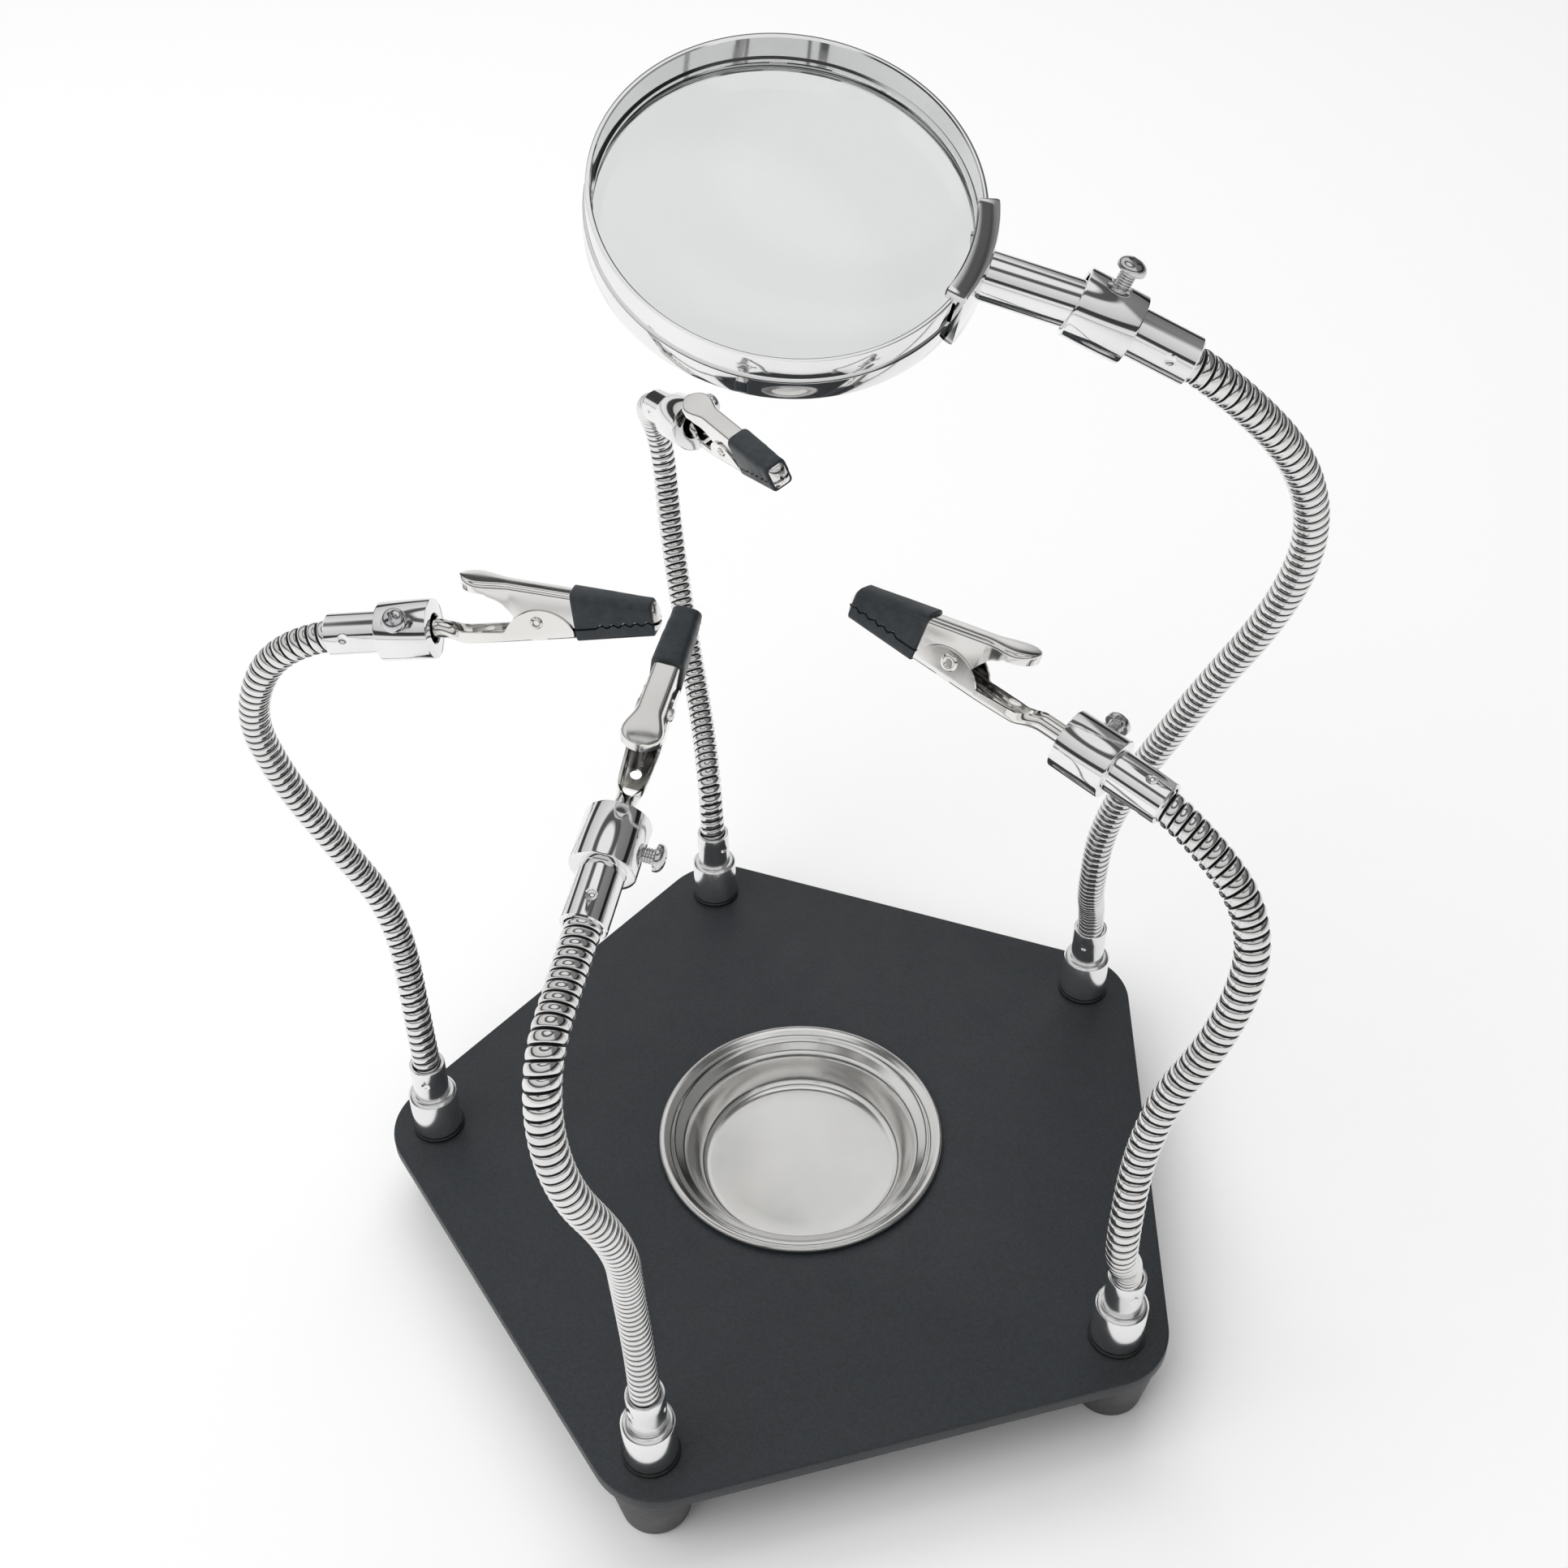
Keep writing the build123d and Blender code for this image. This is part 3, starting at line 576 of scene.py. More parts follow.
def in_shaded_groove(number):
    """Whether a neck's face lies deep in the groove between two bands, where shade is painted on."""
    here = number % len(BAND_SHAPE)
    after = (here + 1) % len(BAND_SHAPE)
    return max(BAND_SHAPE[here][1], BAND_SHAPE[after][1]) >= SHADE_DEPTH


def build_neck(name):
    lower, upper = neck_mesh(neck_controls(name))
    place = Matrix.Scale(MM, 4)
    for label, (vertices, faces), bodies, which in (
        ("lower", lower, ("base", f"arm_{name}"), "lower"),
        ("upper", upper, (f"arm_{name}", f"tip_{name}"), "upper"),
    ):
        piece = mesh_piece(f"neck_{name}_{label}", vertices, faces, place, "neck", 75.0)
        # Painted shade: the deepest groove faces get the near-black material in place of the shade that
        # falls between the bands.
        paint_shade(piece, in_shaded_groove)
        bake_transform(piece)
    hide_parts("gooseneck_roots", f"gooseneck_{name}_middle")
    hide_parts(f"gooseneck_{name}_middle", f"gooseneck_{name}_upper")


# ---- the base ----
APOTHEM = 90.0
CORNER_R = 17.0
FOOT_H = 18.5
FOOT_TOP_R = 11.2
FOOT_BOTTOM_R = 8.1
FOOT_SCREW_SEAT = 11.5
FOOT_SCREW_HEAD_R = 3.8
FOOT_SCREW_HEAD_H = 2.6
SCREW_R = 2.0
SCREW_IN_POST = 9.0
WASHER_R = 6.7
TRAY_HOLE_R = 34.2
TRAY_RIM_R = 37.0
TRAY_BEAD_R = 1.0
TRAY_NECK_R = 33.4
TRAY_STEP_R = 29.4
TRAY_STEP_DEPTH = 2.0
TRAY_DEPTH = 10.4
TRAY_WALL = 0.6
TRAY_CORNER_R = 2.2
PLATE_EDGE_R = 0.55
CORNER_STEPS = 16
PAINT_INSET = 0.02  # keeps the plate's outline inside the CAD's


def plate_outline():
    """The five-sided outline with rounded corners, anticlockwise."""
    half_corner = 180 / SIDES
    to_arc = (APOTHEM - CORNER_R) / cos(radians(half_corner))
    points = []
    for n in range(SIDES):
        middle = corner_angle(n)
        centre = turned(to_arc, middle)
        for step in range(CORNER_STEPS + 1):
            share = 2 * step / CORNER_STEPS - 1
            points.append(centre + turned(CORNER_R - PAINT_INSET, middle + half_corner * share))
    return points


def prism(name, outline, low, high, matrix, finish):
    """A straight-sided block over an outline in x and y."""
    count = len(outline)
    vertices = [(point[0], point[1], low) for point in outline]
    vertices += [(point[0], point[1], high) for point in outline]
    faces = [tuple(reversed(range(count))), tuple(range(count, 2 * count))]
    faces += [(n, (n + 1) % count, count + (n + 1) % count, count + n) for n in range(count)]
    return mesh_piece(name, vertices, faces, matrix, finish)


def disc_outline(radius, sides, x=0.0):
    """A circle's outline, with its middle at x."""
    return [turned(radius, 360 * n / sides) + Vector((x, 0, 0)) for n in range(sides)]


def build_plate():
    place = Matrix.Scale(MM, 4)
    plate = prism("plate", plate_outline(), FOOT_H, PLATE_TOP, place, "powder")
    hole = prism("hole", disc_outline(TRAY_HOLE_R, 128), 0, PLATE_TOP * 2, place, "powder")
    plate = bevel(cut(plate, hole), PLATE_EDGE_R, 3)
    dress(plate, "powder", 30)
    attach(plate, "base")
    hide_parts("base_plate")


def build_tray():
    top = [(TRAY_RIM_R - TRAY_BEAD_R * 1.9, TRAY_BEAD_R * 1.5), (TRAY_NECK_R + 0.4, TRAY_WALL * 1.6)]
    top += [(TRAY_NECK_R - 0.4, -TRAY_WALL * 0.2), (TRAY_STEP_R + 0.9, -TRAY_STEP_DEPTH * 0.75)]
    top += [(TRAY_STEP_R, -TRAY_STEP_DEPTH - 0.8), (TRAY_STEP_R - 1.4, -TRAY_DEPTH * 0.62)]
    top += [(TRAY_STEP_R - 3.6, -TRAY_DEPTH), (TRAY_STEP_R - 12, -TRAY_DEPTH), (AXIS_R, -TRAY_DEPTH)]
    bead = [
        Vector((TRAY_RIM_R - TRAY_BEAD_R, TRAY_BEAD_R)) + turned(TRAY_BEAD_R, -110 + 25 * n).xy
        for n in range(9)
    ]
    inside = rounded([(radius, 0, height) for radius, height in top], TRAY_CORNER_R, 6)
    inside = [(point.x, point.z) for point in inside]
    wall = TRAY_WALL * 0.7
    outside = [(radius + wall, height - wall) for radius, height in inside[1:-1]]
    outside.append((AXIS_R, -TRAY_DEPTH - TRAY_WALL))
    outside.reverse()
    profile = outside + [tuple(point) for point in bead] + inside
    place = moved(z=PLATE_TOP * MM) @ Matrix.Scale(MM, 4)
    tray = lathe("tray", profile, place, "tray", 160, sharp=60)
    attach(tray, "tray")
    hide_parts("parts_tray")


def cross_cutter(name, size, depth, matrix):
    """A tapered cross that sinks a screwdriver's recess below z = 0."""
    arm = size / 2
    half = size / 9
    plus = []
    quarter = [(half, half), (half, arm), (-half, arm)]
    for _ in range(4):
        plus += quarter
        quarter = [(-y, x) for x, y in quarter]
    count = len(plus)
    vertices = [(x, y, height) for height in (size, 0.0) for x, y in plus]
    vertices += [(x * 0.55, y * 0.8, -depth) for x, y in plus]
    faces = [tuple(range(count)), tuple(reversed(range(2 * count, 3 * count)))]
    for level in (0, count):
        for n in range(count):
            a, b = level + n, level + (n + 1) % count
            faces.append((b, a, a + count, b + count))
    return mesh_piece(name, vertices, faces, matrix, "screw")


DOME_STEPS = 7


def screw_profile(head_r, head_h, shank_r, length, thread_from, pitch=0.5):
    """A pan head standing on z = 0 over a threaded shank: (radius, height) points."""
    points = [(AXIS_R, -length), (shank_r * 0.7, -length), (shank_r, -length + 0.4)]
    height = -length + 0.4
    while height < -thread_from - pitch:
        points += [(shank_r, height + pitch * 0.15), (shank_r * 0.86, height + pitch * 0.5)]
        points.append((shank_r, height + pitch * 0.85))
        height += pitch
    points += [(shank_r, -thread_from), (shank_r, -0.15), (shank_r + 0.15, 0)]
    points += [(head_r - 0.15, 0), (head_r, 0.15), (head_r, head_h * 0.3)]
    for n in range(1, DOME_STEPS + 1):
        angle = radians(90 * n / DOME_STEPS)
        radius = AXIS_R + (head_r - AXIS_R) * cos(angle) ** 0.8
        points.append((radius, head_h * (0.3 + 0.7 * sin(angle))))
    return points


def build_feet():
    inner_r = FOOT_SCREW_HEAD_R + 0.2
    outline = [(SCREW_R + 0.2, FOOT_SCREW_SEAT), (inner_r, FOOT_SCREW_SEAT), (inner_r, 0.3)]
    outline += [(inner_r + 0.4, 0), (FOOT_BOTTOM_R - 1.2, 0), (FOOT_BOTTOM_R - 0.3, 0.25)]
    outline += [(FOOT_BOTTOM_R + 0.15, 1.0), (FOOT_TOP_R - 0.25, FOOT_H - 1.0)]
    outline += [(FOOT_TOP_R - 0.1, FOOT_H - 0.2), (FOOT_TOP_R - 0.4, FOOT_H), (SCREW_R + 0.2, FOOT_H)]
    length = PLATE_TOP + WASHER_T + SCREW_IN_POST - FOOT_SCREW_SEAT
    for name, arm in ARMS.items():
        centre = turned(POST_CIRCLE_R, corner_angle(arm["post"]))
        place = Matrix.Translation(centre * MM) @ Matrix.Scale(MM, 4)
        foot = lathe(f"foot_{name}", outline, place, "foot", 64, sharp=35)
        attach(foot, "base")
        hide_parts("rubber_feet")
        upside = place @ moved(z=FOOT_SCREW_SEAT) @ Matrix.Rotation(pi, 4, "X")
        profile = screw_profile(FOOT_SCREW_HEAD_R, FOOT_SCREW_HEAD_H, SCREW_R, length, 12.0, 0.7)
        screw = lathe(f"foot_screw_{name}", profile, upside, "screw", 40)
        top = upside @ moved(z=FOOT_SCREW_HEAD_H)
        cut(screw, cross_cutter("cross", FOOT_SCREW_HEAD_R, 1.3, top))
        dress(screw, "screw", 30)
        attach(screw, "base")
        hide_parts("foot_screws")


# ---- posts, washers and connectors ----
DIMPLE_R = 1.0
DIMPLE_DEPTH = 0.42
DIMPLES = 3
POST_BORE_R = 2.1
WASHER_BORE_R = 2.2
PASSAGE_R = 2.5  # from a connector's socket to its collar
CLAMP_X = -5.75
CLAMP_R = 1.5
CLAMP_HOLE_R = 1.56
CLAMP_SINK_R = 2.5
CLAMP_HEAD_R = 2.7
CLAMP_HEAD_H = 2.1
CLIP_SCREW = (2.1, 8.4)  # tip and head seat, from the collar's axis
LENS_SCREW = (5.25, 9.2)


def punched(sleeve_r, height):
    """A reshaping that presses round dimples into a sleeve."""
    centres = [turned(sleeve_r, n * 360 / DIMPLES + 90, height) for n in range(DIMPLES)]

    def press(point):
        nearest = min((point - centre).length for centre in centres)
        if nearest >= DIMPLE_R or hypot(point.x, point.y) < sleeve_r - 0.1:
            return point
        depth = DIMPLE_DEPTH * (1 - (nearest / DIMPLE_R) ** 2) ** 0.7
        share = 1 - depth / hypot(point.x, point.y)
        return Vector((point.x * share, point.y * share, point.z))

    return press


def ruled(low, high, radius, spacing=0.22):
    """Close-set (radius, height) points along a straight wall, so that it can be dimpled."""
    return [(radius, height) for height in spread(low, high, spacing)]


def build_posts():
    dimple_z = POST_H - SLEEVE_H * 0.4
    profile = [(POST_BORE_R, 0), (POST_R - 0.25, 0), (POST_R, 0.25), (POST_R, POST_BODY_H - 0.75)]
    profile += [(POST_R - 0.1, POST_BODY_H - 0.6), (POST_R - 0.65, POST_BODY_H - 0.08)]
    profile += [(POST_R - 0.8, POST_BODY_H), (SLEEVE_R + 0.15, POST_BODY_H)]
    profile += ruled(POST_BODY_H + 0.15, dimple_z - DIMPLE_R - 0.2, SLEEVE_R, 2.0)
    profile += ruled(dimple_z - DIMPLE_R - 0.1, dimple_z + DIMPLE_R + 0.1, SLEEVE_R)
    profile += [(SLEEVE_R, POST_H - 0.3), (SLEEVE_R - 0.1, POST_H - 0.08), (SLEEVE_R - 0.3, POST_H)]
    profile += [(SOCKET_R + 0.2, POST_H), (SOCKET_R, POST_H - 0.2), (SOCKET_R, POST_H - SOCKET_DEPTH)]
    profile += [(POST_BORE_R, POST_H - SOCKET_DEPTH)]
    washer = [(WASHER_BORE_R, 0), (WASHER_R - 0.3, 0), (WASHER_R, 0.25), (WASHER_R, 0.7)]
    washer += [(WASHER_R - 0.3, WASHER_T), (WASHER_BORE_R, WASHER_T)]
    for name, arm in ARMS.items():
        place = post_matrix(arm)
        post = lathe(f"turned_post_{name}", profile, place, "post", 112, punched(SLEEVE_R, dimple_z))
        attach(post, "base")
        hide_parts(f"post_{name}")
        ring = lathe(f"washer_{name}", washer, place @ moved(z=-WASHER_T), "washer", 64)
        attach(ring, "base")
        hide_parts("post_washers")


def connector_profile(bore_r, dimple_x):
    """The connector's section, bored out at its mouth for what it holds."""
    end = -CONNECTOR_L
    back = -COLLAR_L
    profile = [(PASSAGE_R, end + 10.4), (PASSAGE_R, -COLLAR_BORE_L), (bore_r, -COLLAR_BORE_L)]
    profile += [(bore_r, -0.3), (bore_r + 0.25, 0), (COLLAR_R - 0.35, 0)]
    profile += [(COLLAR_R - 0.1, -0.1), (COLLAR_R, -0.35), (COLLAR_R, back + 0.35)]
    profile += [(COLLAR_R - 0.1, back + 0.1), (COLLAR_R - 0.35, back)]
    profile += [(SLEEVE_R + 0.1, back), (SLEEVE_R, back - 0.1)]
    profile += ruled(dimple_x + DIMPLE_R + 0.1, dimple_x - DIMPLE_R - 0.1, SLEEVE_R)
    profile += [(SLEEVE_R, end + 0.3), (SLEEVE_R - 0.3, end)]
    profile += [(SOCKET_R + 0.15, end), (SOCKET_R, end + 0.2)]
    profile += [(SOCKET_R, end + CONNECTOR_SOCKET_L), (PASSAGE_R, end + 10.3)]
    return profile


def build_connectors():
    dimple_x = -CONNECTOR_L + CONNECTOR_SOCKET_L / 2
    rim = COLLAR_R + 0.5
    hole = [(AXIS_R, 0), (CLAMP_HOLE_R, 0), (CLAMP_HOLE_R, COLLAR_R - 0.45)]
    hole += [(CLAMP_SINK_R, rim), (AXIS_R, rim)]
    for name in ARMS:
        place = connector_matrix(name)
        bore_r = COLLAR_BORE_R if name == "magnifier" else CLIP_BORE_R
        profile = connector_profile(bore_r, dimple_x)
        press = punched(SLEEVE_R, dimple_x)
        body = lathe(f"tip_connector_{name}", profile, place @ AROUND_X, "chrome", 112, press)
        screw_place = place @ moved(CLAMP_X)
        cut(body, lathe("screw hole", hole, screw_place, "chrome", 32))
        dress(body, "chrome", 35)
        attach(body, f"tip_{name}")
        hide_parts(f"connector_{name}")
        build_clamp_screw(name, screw_place)


def build_clamp_screw(name, place):
    tip, seat = LENS_SCREW if name == "magnifier" else CLIP_SCREW
    profile = screw_profile(CLAMP_HEAD_R, CLAMP_HEAD_H, CLAMP_R, seat - tip, 0.3)
    screw = lathe(f"screw_{name}", profile, place @ moved(z=seat), "screw", 48)
    top = place @ moved(z=seat + CLAMP_HEAD_H) @ Matrix.Rotation(0.4, 4, "Z")
    cut(screw, cross_cutter("cross", CLAMP_HEAD_R * 1.15, 1.2, top))
    dress(screw, "screw", 30)
    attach(screw, f"screw_{name}")
    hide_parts(f"clamp_screw_{name}")


# ---- clips ----
SHEET = 0.55
TIP_X = 48.3
FLOOR_Z = -3.0
TAIL_TOP_Z = -0.4
MOUTH_Z = -1.0
MOUTH_GAP = 0.3
EAR_R = 8.2
EAR_CENTRE_Z = -4.5
TAIL_R = 2.0
TAIL_END_X = -11.5
CHANNEL_X = 5.0
NECK_IN_X = 30.2
BOOT_X = 30.5
BOOT_END_X = 47.2
BOOT_T = 0.7
JAW_HALF = 2.6
EAR_HALF = 3.25
TIP_HALF = 2.2
TOP_REAR = (13.5, 10.5)
TOP_TIP_Z = 2.3
PAD_X = 11.3
PAD_R = 4.0
PAD_RIM_H = 2.4
FLOOR_HOLE_R = 1.15
MOON_R = 1.6
RIVET_R = 1.1
SPRING_COIL_R = 1.72
WIRE_R = 0.36
FOLD_STEPS = 5
SECTION_POINTS = 40
ROLL_FROM = 100  # where the tail's barrel starts and how far it is rolled, in degrees
ROLL_SPAN = 340
WAVES = 5
WAVE_X = 35.0
WAVE_H = 0.6
BOOT_GAP = 0.08
BOOT_SLOPE = 0.22  # how far a boot's edge draws back from the split on its outside
FRONT_XS = [*spread(BOOT_X, BOOT_END_X, 2.0), *spread(BOOT_END_X + 0.2, TIP_X, 0.2)]


def blend_along(x, stops):
    """Straight interpolation over (x, value) stops."""
    if x <= stops[0][0]:
        return stops[0][1]
    for (x0, v0), (x1, v1) in zip(stops, stops[1:]):
        if x <= x1:
            return v0 + (v1 - v0) * (x - x0) / (x1 - x0)
    return stops[-1][1]


def smooth_share(low, high, x):
    t = min(1.0, max(0.0, (x - low) / (high - low)))
    return t * t * (3 - 2 * t)


def fold(half, base, edge, corner):
    """A folded sheet's section as (y, z) points: down one wall, across the base, up the other."""
    up = 1 if edge > base else -1
    corner = max(0.02, min(corner, half * 0.9, abs(edge - base) * 0.9))
    points = [(-half, edge)]
    for n in range(FOLD_STEPS + 1):
        angle = radians(90 * n / FOLD_STEPS)
        y = -half + corner * (1 - cos(angle))
        points.append((y, base + up * corner * (1 - sin(angle))))
    return points + [(-y, z) for y, z in reversed(points)]


def folded_section(half, base, edge, thickness, corner, inner_half=None, slope=0.0):
    """A closed loop round a folded sheet: its outside, then its inside; slope bevels the free edges."""
    up = 1 if edge > base else -1
    inner_half = max(0.02, half - thickness if inner_half is None else inner_half)
    inner_base = base + up * thickness
    outer = fold(half, base, edge - up * slope, corner)
    inner = fold(inner_half, inner_base, edge, max(0.1, corner - thickness))
    return outer + inner[::-1]


def loft(name, stations, matrix, finish, sharp):
    """A closed shape through (x, section) stations with equal numbers of (y, z) points."""
    vertices = [(x, y, z) for x, section in stations for y, z in section]
    count = len(stations[0][1])
    faces = ring_faces(len(stations), count)
    faces += end_faces(count, (0, (len(stations) - 1) * count), count // 2 - 1)
    return mesh_piece(name, vertices, faces, matrix, finish, sharp)


def resampled(points, count):
    """The same polyline with evenly spread points."""
    points = [Vector(point) for point in points]
    lengths = lengths_along(points)
    wanted = [lengths[-1] * n / (count - 1) for n in range(count)]
    return [tuple(at(points, lengths, min(length, lengths[-1] - 1e-6))) for length in wanted]


def top_z(x):
    rear_x, rear_z = TOP_REAR
    return rear_z + (TOP_TIP_Z - rear_z) * (x - rear_x) / (TIP_X - rear_x)


def nose(x):
    """How much a jaw narrows where it comes out of its boot."""
    out = max(0.0, x - BOOT_END_X) / (TIP_X - BOOT_END_X)
    return sqrt(1 - 0.8 * out**2)


def jaw_half(x):
    return blend_along(x, [(BOOT_X, JAW_HALF), (TIP_X, TIP_HALF)]) * nose(x)


def lower_edge(x):
    """Height of the lower jaw's wall at x: low along the tail, round at the ears."""
    low = TAIL_TOP_Z - 1
    straight = blend_along(x, [(CHANNEL_X, TAIL_TOP_Z), (BOOT_X, low), (TIP_X, low)])
    across = x - PIVOT_X
    if abs(across) >= EAR_R:
        return straight
    return max(straight, EAR_CENTRE_Z + sqrt(EAR_R**2 - across**2))


def lower_half(x):
    """Half of the lower jaw's width at x."""
    tail = [(CHANNEL_X - 1, JAW_HALF - 0.3), (CHANNEL_X + 3, JAW_HALF + 0.25)]
    ears = [(PIVOT_X - EAR_R, EAR_HALF), (NECK_IN_X, EAR_HALF)]
    return blend_along(x, [*tail, *ears, (BOOT_X, JAW_HALF), (TIP_X, TIP_HALF)]) * nose(x)


def tail_section(x):
    """The lower jaw's section at x, unrolling from the tail's barrel into the channel."""
    share = smooth_share(0.5, CHANNEL_X + 1.5, x)
    floor_z = MOUTH_Z + (FLOOR_Z - MOUTH_Z) * nose(x)
    walls = folded_section(lower_half(x), floor_z, lower_edge(x), SHEET, 0.9)
    half = len(walls) // 2
    flat_out = resampled(walls[:half], SECTION_POINTS)
    flat_in = resampled(walls[half:][::-1], SECTION_POINTS)
    steps = range(SECTION_POINTS)
    angles = [radians(ROLL_FROM + ROLL_SPAN * n / (SECTION_POINTS - 1)) for n in steps]
    sides = []
    for radius, flat in ((TAIL_R, flat_out), (TAIL_R - SHEET, flat_in)):
        side = []
        for angle, (y, z) in zip(angles, flat):
            roll_y = cos(angle) * radius
            roll_z = sin(angle) * radius
            side.append((roll_y * (1 - share) + y * share, roll_z * (1 - share) + z * share))
        sides.append(side)
    return sides[0] + sides[1][::-1]


def build_lower_jaw(name, place):
    xs = [TAIL_END_X, TAIL_END_X + 0.2, 0.5, *spread(1.0, 14.2, 0.45), *spread(14.5, 30.2, 0.3)]
    xs += [30.35, *FRONT_XS]
    jaw = loft(f"jaw_lower_{name}", [(x, tail_section(x)) for x in xs], place, "clip", 30)
    disc = disc_outline(FLOOR_HOLE_R, 24, CHANNEL_X + 5.0)
    moon = [point for point in disc_outline(MOON_R, 32, CHANNEL_X + MOON_R) if point.x <= CHANNEL_X + 1.7]
    for outline in (disc, moon):
        cut(jaw, prism("hole", outline, 0, 2.5, place @ moved(z=FLOOR_Z - 1), "clip"))
    jaw = bevel(jaw, 0.1, 1, 50.0)
    dress(jaw, "clip", 30)
    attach(jaw, f"clip_{name}")
    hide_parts(f"lower_jaw_{name}")


def upper_edge(x):
    """Height of the upper jaw's free edge at x."""
    rear = [(PAD_X + 1.4, top_z(PAD_X + 1.4) - PAD_RIM_H), (13.5, 7.5), (14.9, 6.6), (15.9, 5.6)]
    rear += [(17.0, 4.0), (18.1, 2.2), (19.2, 0.3), (20.1, -1.0), (20.6, -1.5), (21.2, -1.8)]
    front = [(21.9, -1.9), (25.7, -1.9), (BOOT_X, MOUTH_Z + MOUTH_GAP)]
    if x < PAD_X + 1.4:
        return top_z(x) - PAD_RIM_H
    return blend_along(x, rear + front)


def upper_halves(x):
    """Outer and inner half width of the upper jaw at x."""
    if x < PAD_X:
        back = PAD_X - x
        outer = sqrt(max(0.0, PAD_R**2 - back**2))
        inner = sqrt(max(0.0, (PAD_R - SHEET) ** 2 - back**2))
        return max(0.05, outer), inner
    waist = smooth_share(PAD_X, PAD_X + 6.5, x)
    half = PAD_R + (jaw_half(x) - PAD_R) * waist
    return half, half - SHEET


def build_upper_jaw(name, place):
    xs = [PAD_X - PAD_R * cos(radians(angle)) for angle in range(4, 90, 4)]
    xs += [*spread(PAD_X, 21.5, 0.35), 21.9, 23.5, 25.7, 28.0, *FRONT_XS]
    stations = []
    for x in xs:
        outer, inner = upper_halves(x)
        top = MOUTH_Z + (top_z(x) - MOUTH_Z) * nose(x)
        section = folded_section(outer, top, upper_edge(x), SHEET, 1.1, inner)
        stations.append((x, section))
    jaw = loft(f"jaw_upper_{name}", stations, place, "clip", 30)
    dress(jaw, "clip", 30)
    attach(jaw, f"jaw_{name}")
    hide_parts(f"upper_jaw_{name}")


def wave(x):
    """How high the boots' wavy split rises at x."""
    if x < WAVE_X:
        return 0.0
    return WAVE_H * (0.5 - 0.5 * cos(TURN * (x - WAVE_X) / (BOOT_END_X - WAVE_X) * WAVES))


def boot_stations(side, base_at, swell_at, corner):
    """Sections of the upper boot (side 1) or the lower one (-1), a little smaller at the two ends."""
    xs = [BOOT_X, BOOT_X + 0.12, BOOT_X + 0.35, *spread(BOOT_X + 0.7, BOOT_END_X - 0.7, 0.24)]
    xs += [BOOT_END_X - 0.35, BOOT_END_X - 0.12, BOOT_END_X]
    stations = []
    for x in xs:
        end = min(x - BOOT_X, BOOT_END_X - x)
        shrink = 0.3 * (1 - min(1.0, end / 0.35)) ** 2
        half = jaw_half(x) + BOOT_T + swell_at(x) - shrink
        base = base_at(x) + side * BOOT_T - side * shrink
        edge = MOUTH_Z + side * BOOT_GAP / 2 + wave(x)
        inner_half = jaw_half(x) + 0.02
        section = folded_section(half, base, edge, BOOT_T - shrink, corner, inner_half, BOOT_SLOPE)
        stations.append((x, section))
    return stations


def upper_swell(x):
    return 0.12 * noise.noise(Vector((x * 0.35, 0, 7.1)))


def build_boots(name, place):
    upper = boot_stations(1, top_z, upper_swell, 1.6)
    lower = boot_stations(-1, lambda x: FLOOR_Z, lambda x: -0.05, 1.1)
    top = loft(f"boot_upper_{name}", upper, place, "boot", 55)
    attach(top, f"jaw_{name}")
    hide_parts(f"upper_boot_{name}")
    bottom = loft(f"boot_lower_{name}", lower, place, "boot", 55)
    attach(bottom, f"clip_{name}")
    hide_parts(f"lower_boot_{name}")


def rivet_end(hole_r, flange_r):
    """Half of the eyelet's section, from its middle out to a rolled flange and back."""
    points = [(hole_r, 0), (hole_r, EAR_HALF + 0.1), (hole_r + 0.12, EAR_HALF + 0.38)]
    points += [(flange_r * 0.65, EAR_HALF + 0.5), (flange_r * 0.87, EAR_HALF + 0.4)]
    points += [(flange_r, EAR_HALF + 0.15), (flange_r - 0.02, EAR_HALF)]
    return points + [(RIVET_R, EAR_HALF), (RIVET_R, 0)]


def build_rivet(name, place):
    small = rivet_end(0.6, 1.35)
    large = [(radius, -height) for radius, height in reversed(rivet_end(0.75, 1.85))]
    across = place @ moved(PIVOT_X, PIVOT_Z) @ Matrix.Rotation(pi / 2, 4, "X")
    sides = 48
    eyelet = lathe(f"eyelet_{name}", small + large, across, "clip", sides, sharp=50)
    last = len(small + large) - 2
    # Painted shade: the eyelet's bore, at both ends of its section, gets the near-black material in place
    # of the shade inside the hole.
    paint_shade(eyelet, lambda number: number // sides in (0, last))
    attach(eyelet, f"clip_{name}")
    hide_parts(f"rivet_{name}")


def build_spring(name, place):
    coils = 3.6
    half = 1.45
    steps = 90
    first = radians(115)
    last = first + TURN * coils
    line = []
    for n in range(steps + 1):
        angle = first + (last - first) * n / steps
        x = PIVOT_X + SPRING_COIL_R * cos(angle)
        y = half - 2 * half * n / steps
        line.append((x, y, PIVOT_Z + SPRING_COIL_R * sin(angle)))
    floor_leg = [(PIVOT_X - 3.0, -1.0, -1.5), (PIVOT_X - 8.5, -0.6, -1.95), (12.5, -0.5, -1.98)]
    coil = tube_points(line + floor_leg, WIRE_R, 10)
    spring = mesh_piece(f"coil_{name}", *coil, place, "spring", 50)
    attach(spring, f"clip_{name}")
    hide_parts(f"spring_{name}")
    pad_leg = [line[0], (PIVOT_X - 2.6, 1.2, PIVOT_Z + 3.2), (16.4, 0.7, 8.7), (15.2, 0.6, 9.2)]
    leg = mesh_piece(f"spring_leg_{name}", *tube_points(pad_leg, WIRE_R, 10), place, "spring", 50)
    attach(leg, f"jaw_{name}")


def build_clips():
    for name in CLIP_ARMS:
        place = clip_matrix(name)
        build_lower_jaw(name, place)
        build_upper_jaw(name, place)
        build_boots(name, place)
        build_rivet(name, place)
        build_spring(name, place)


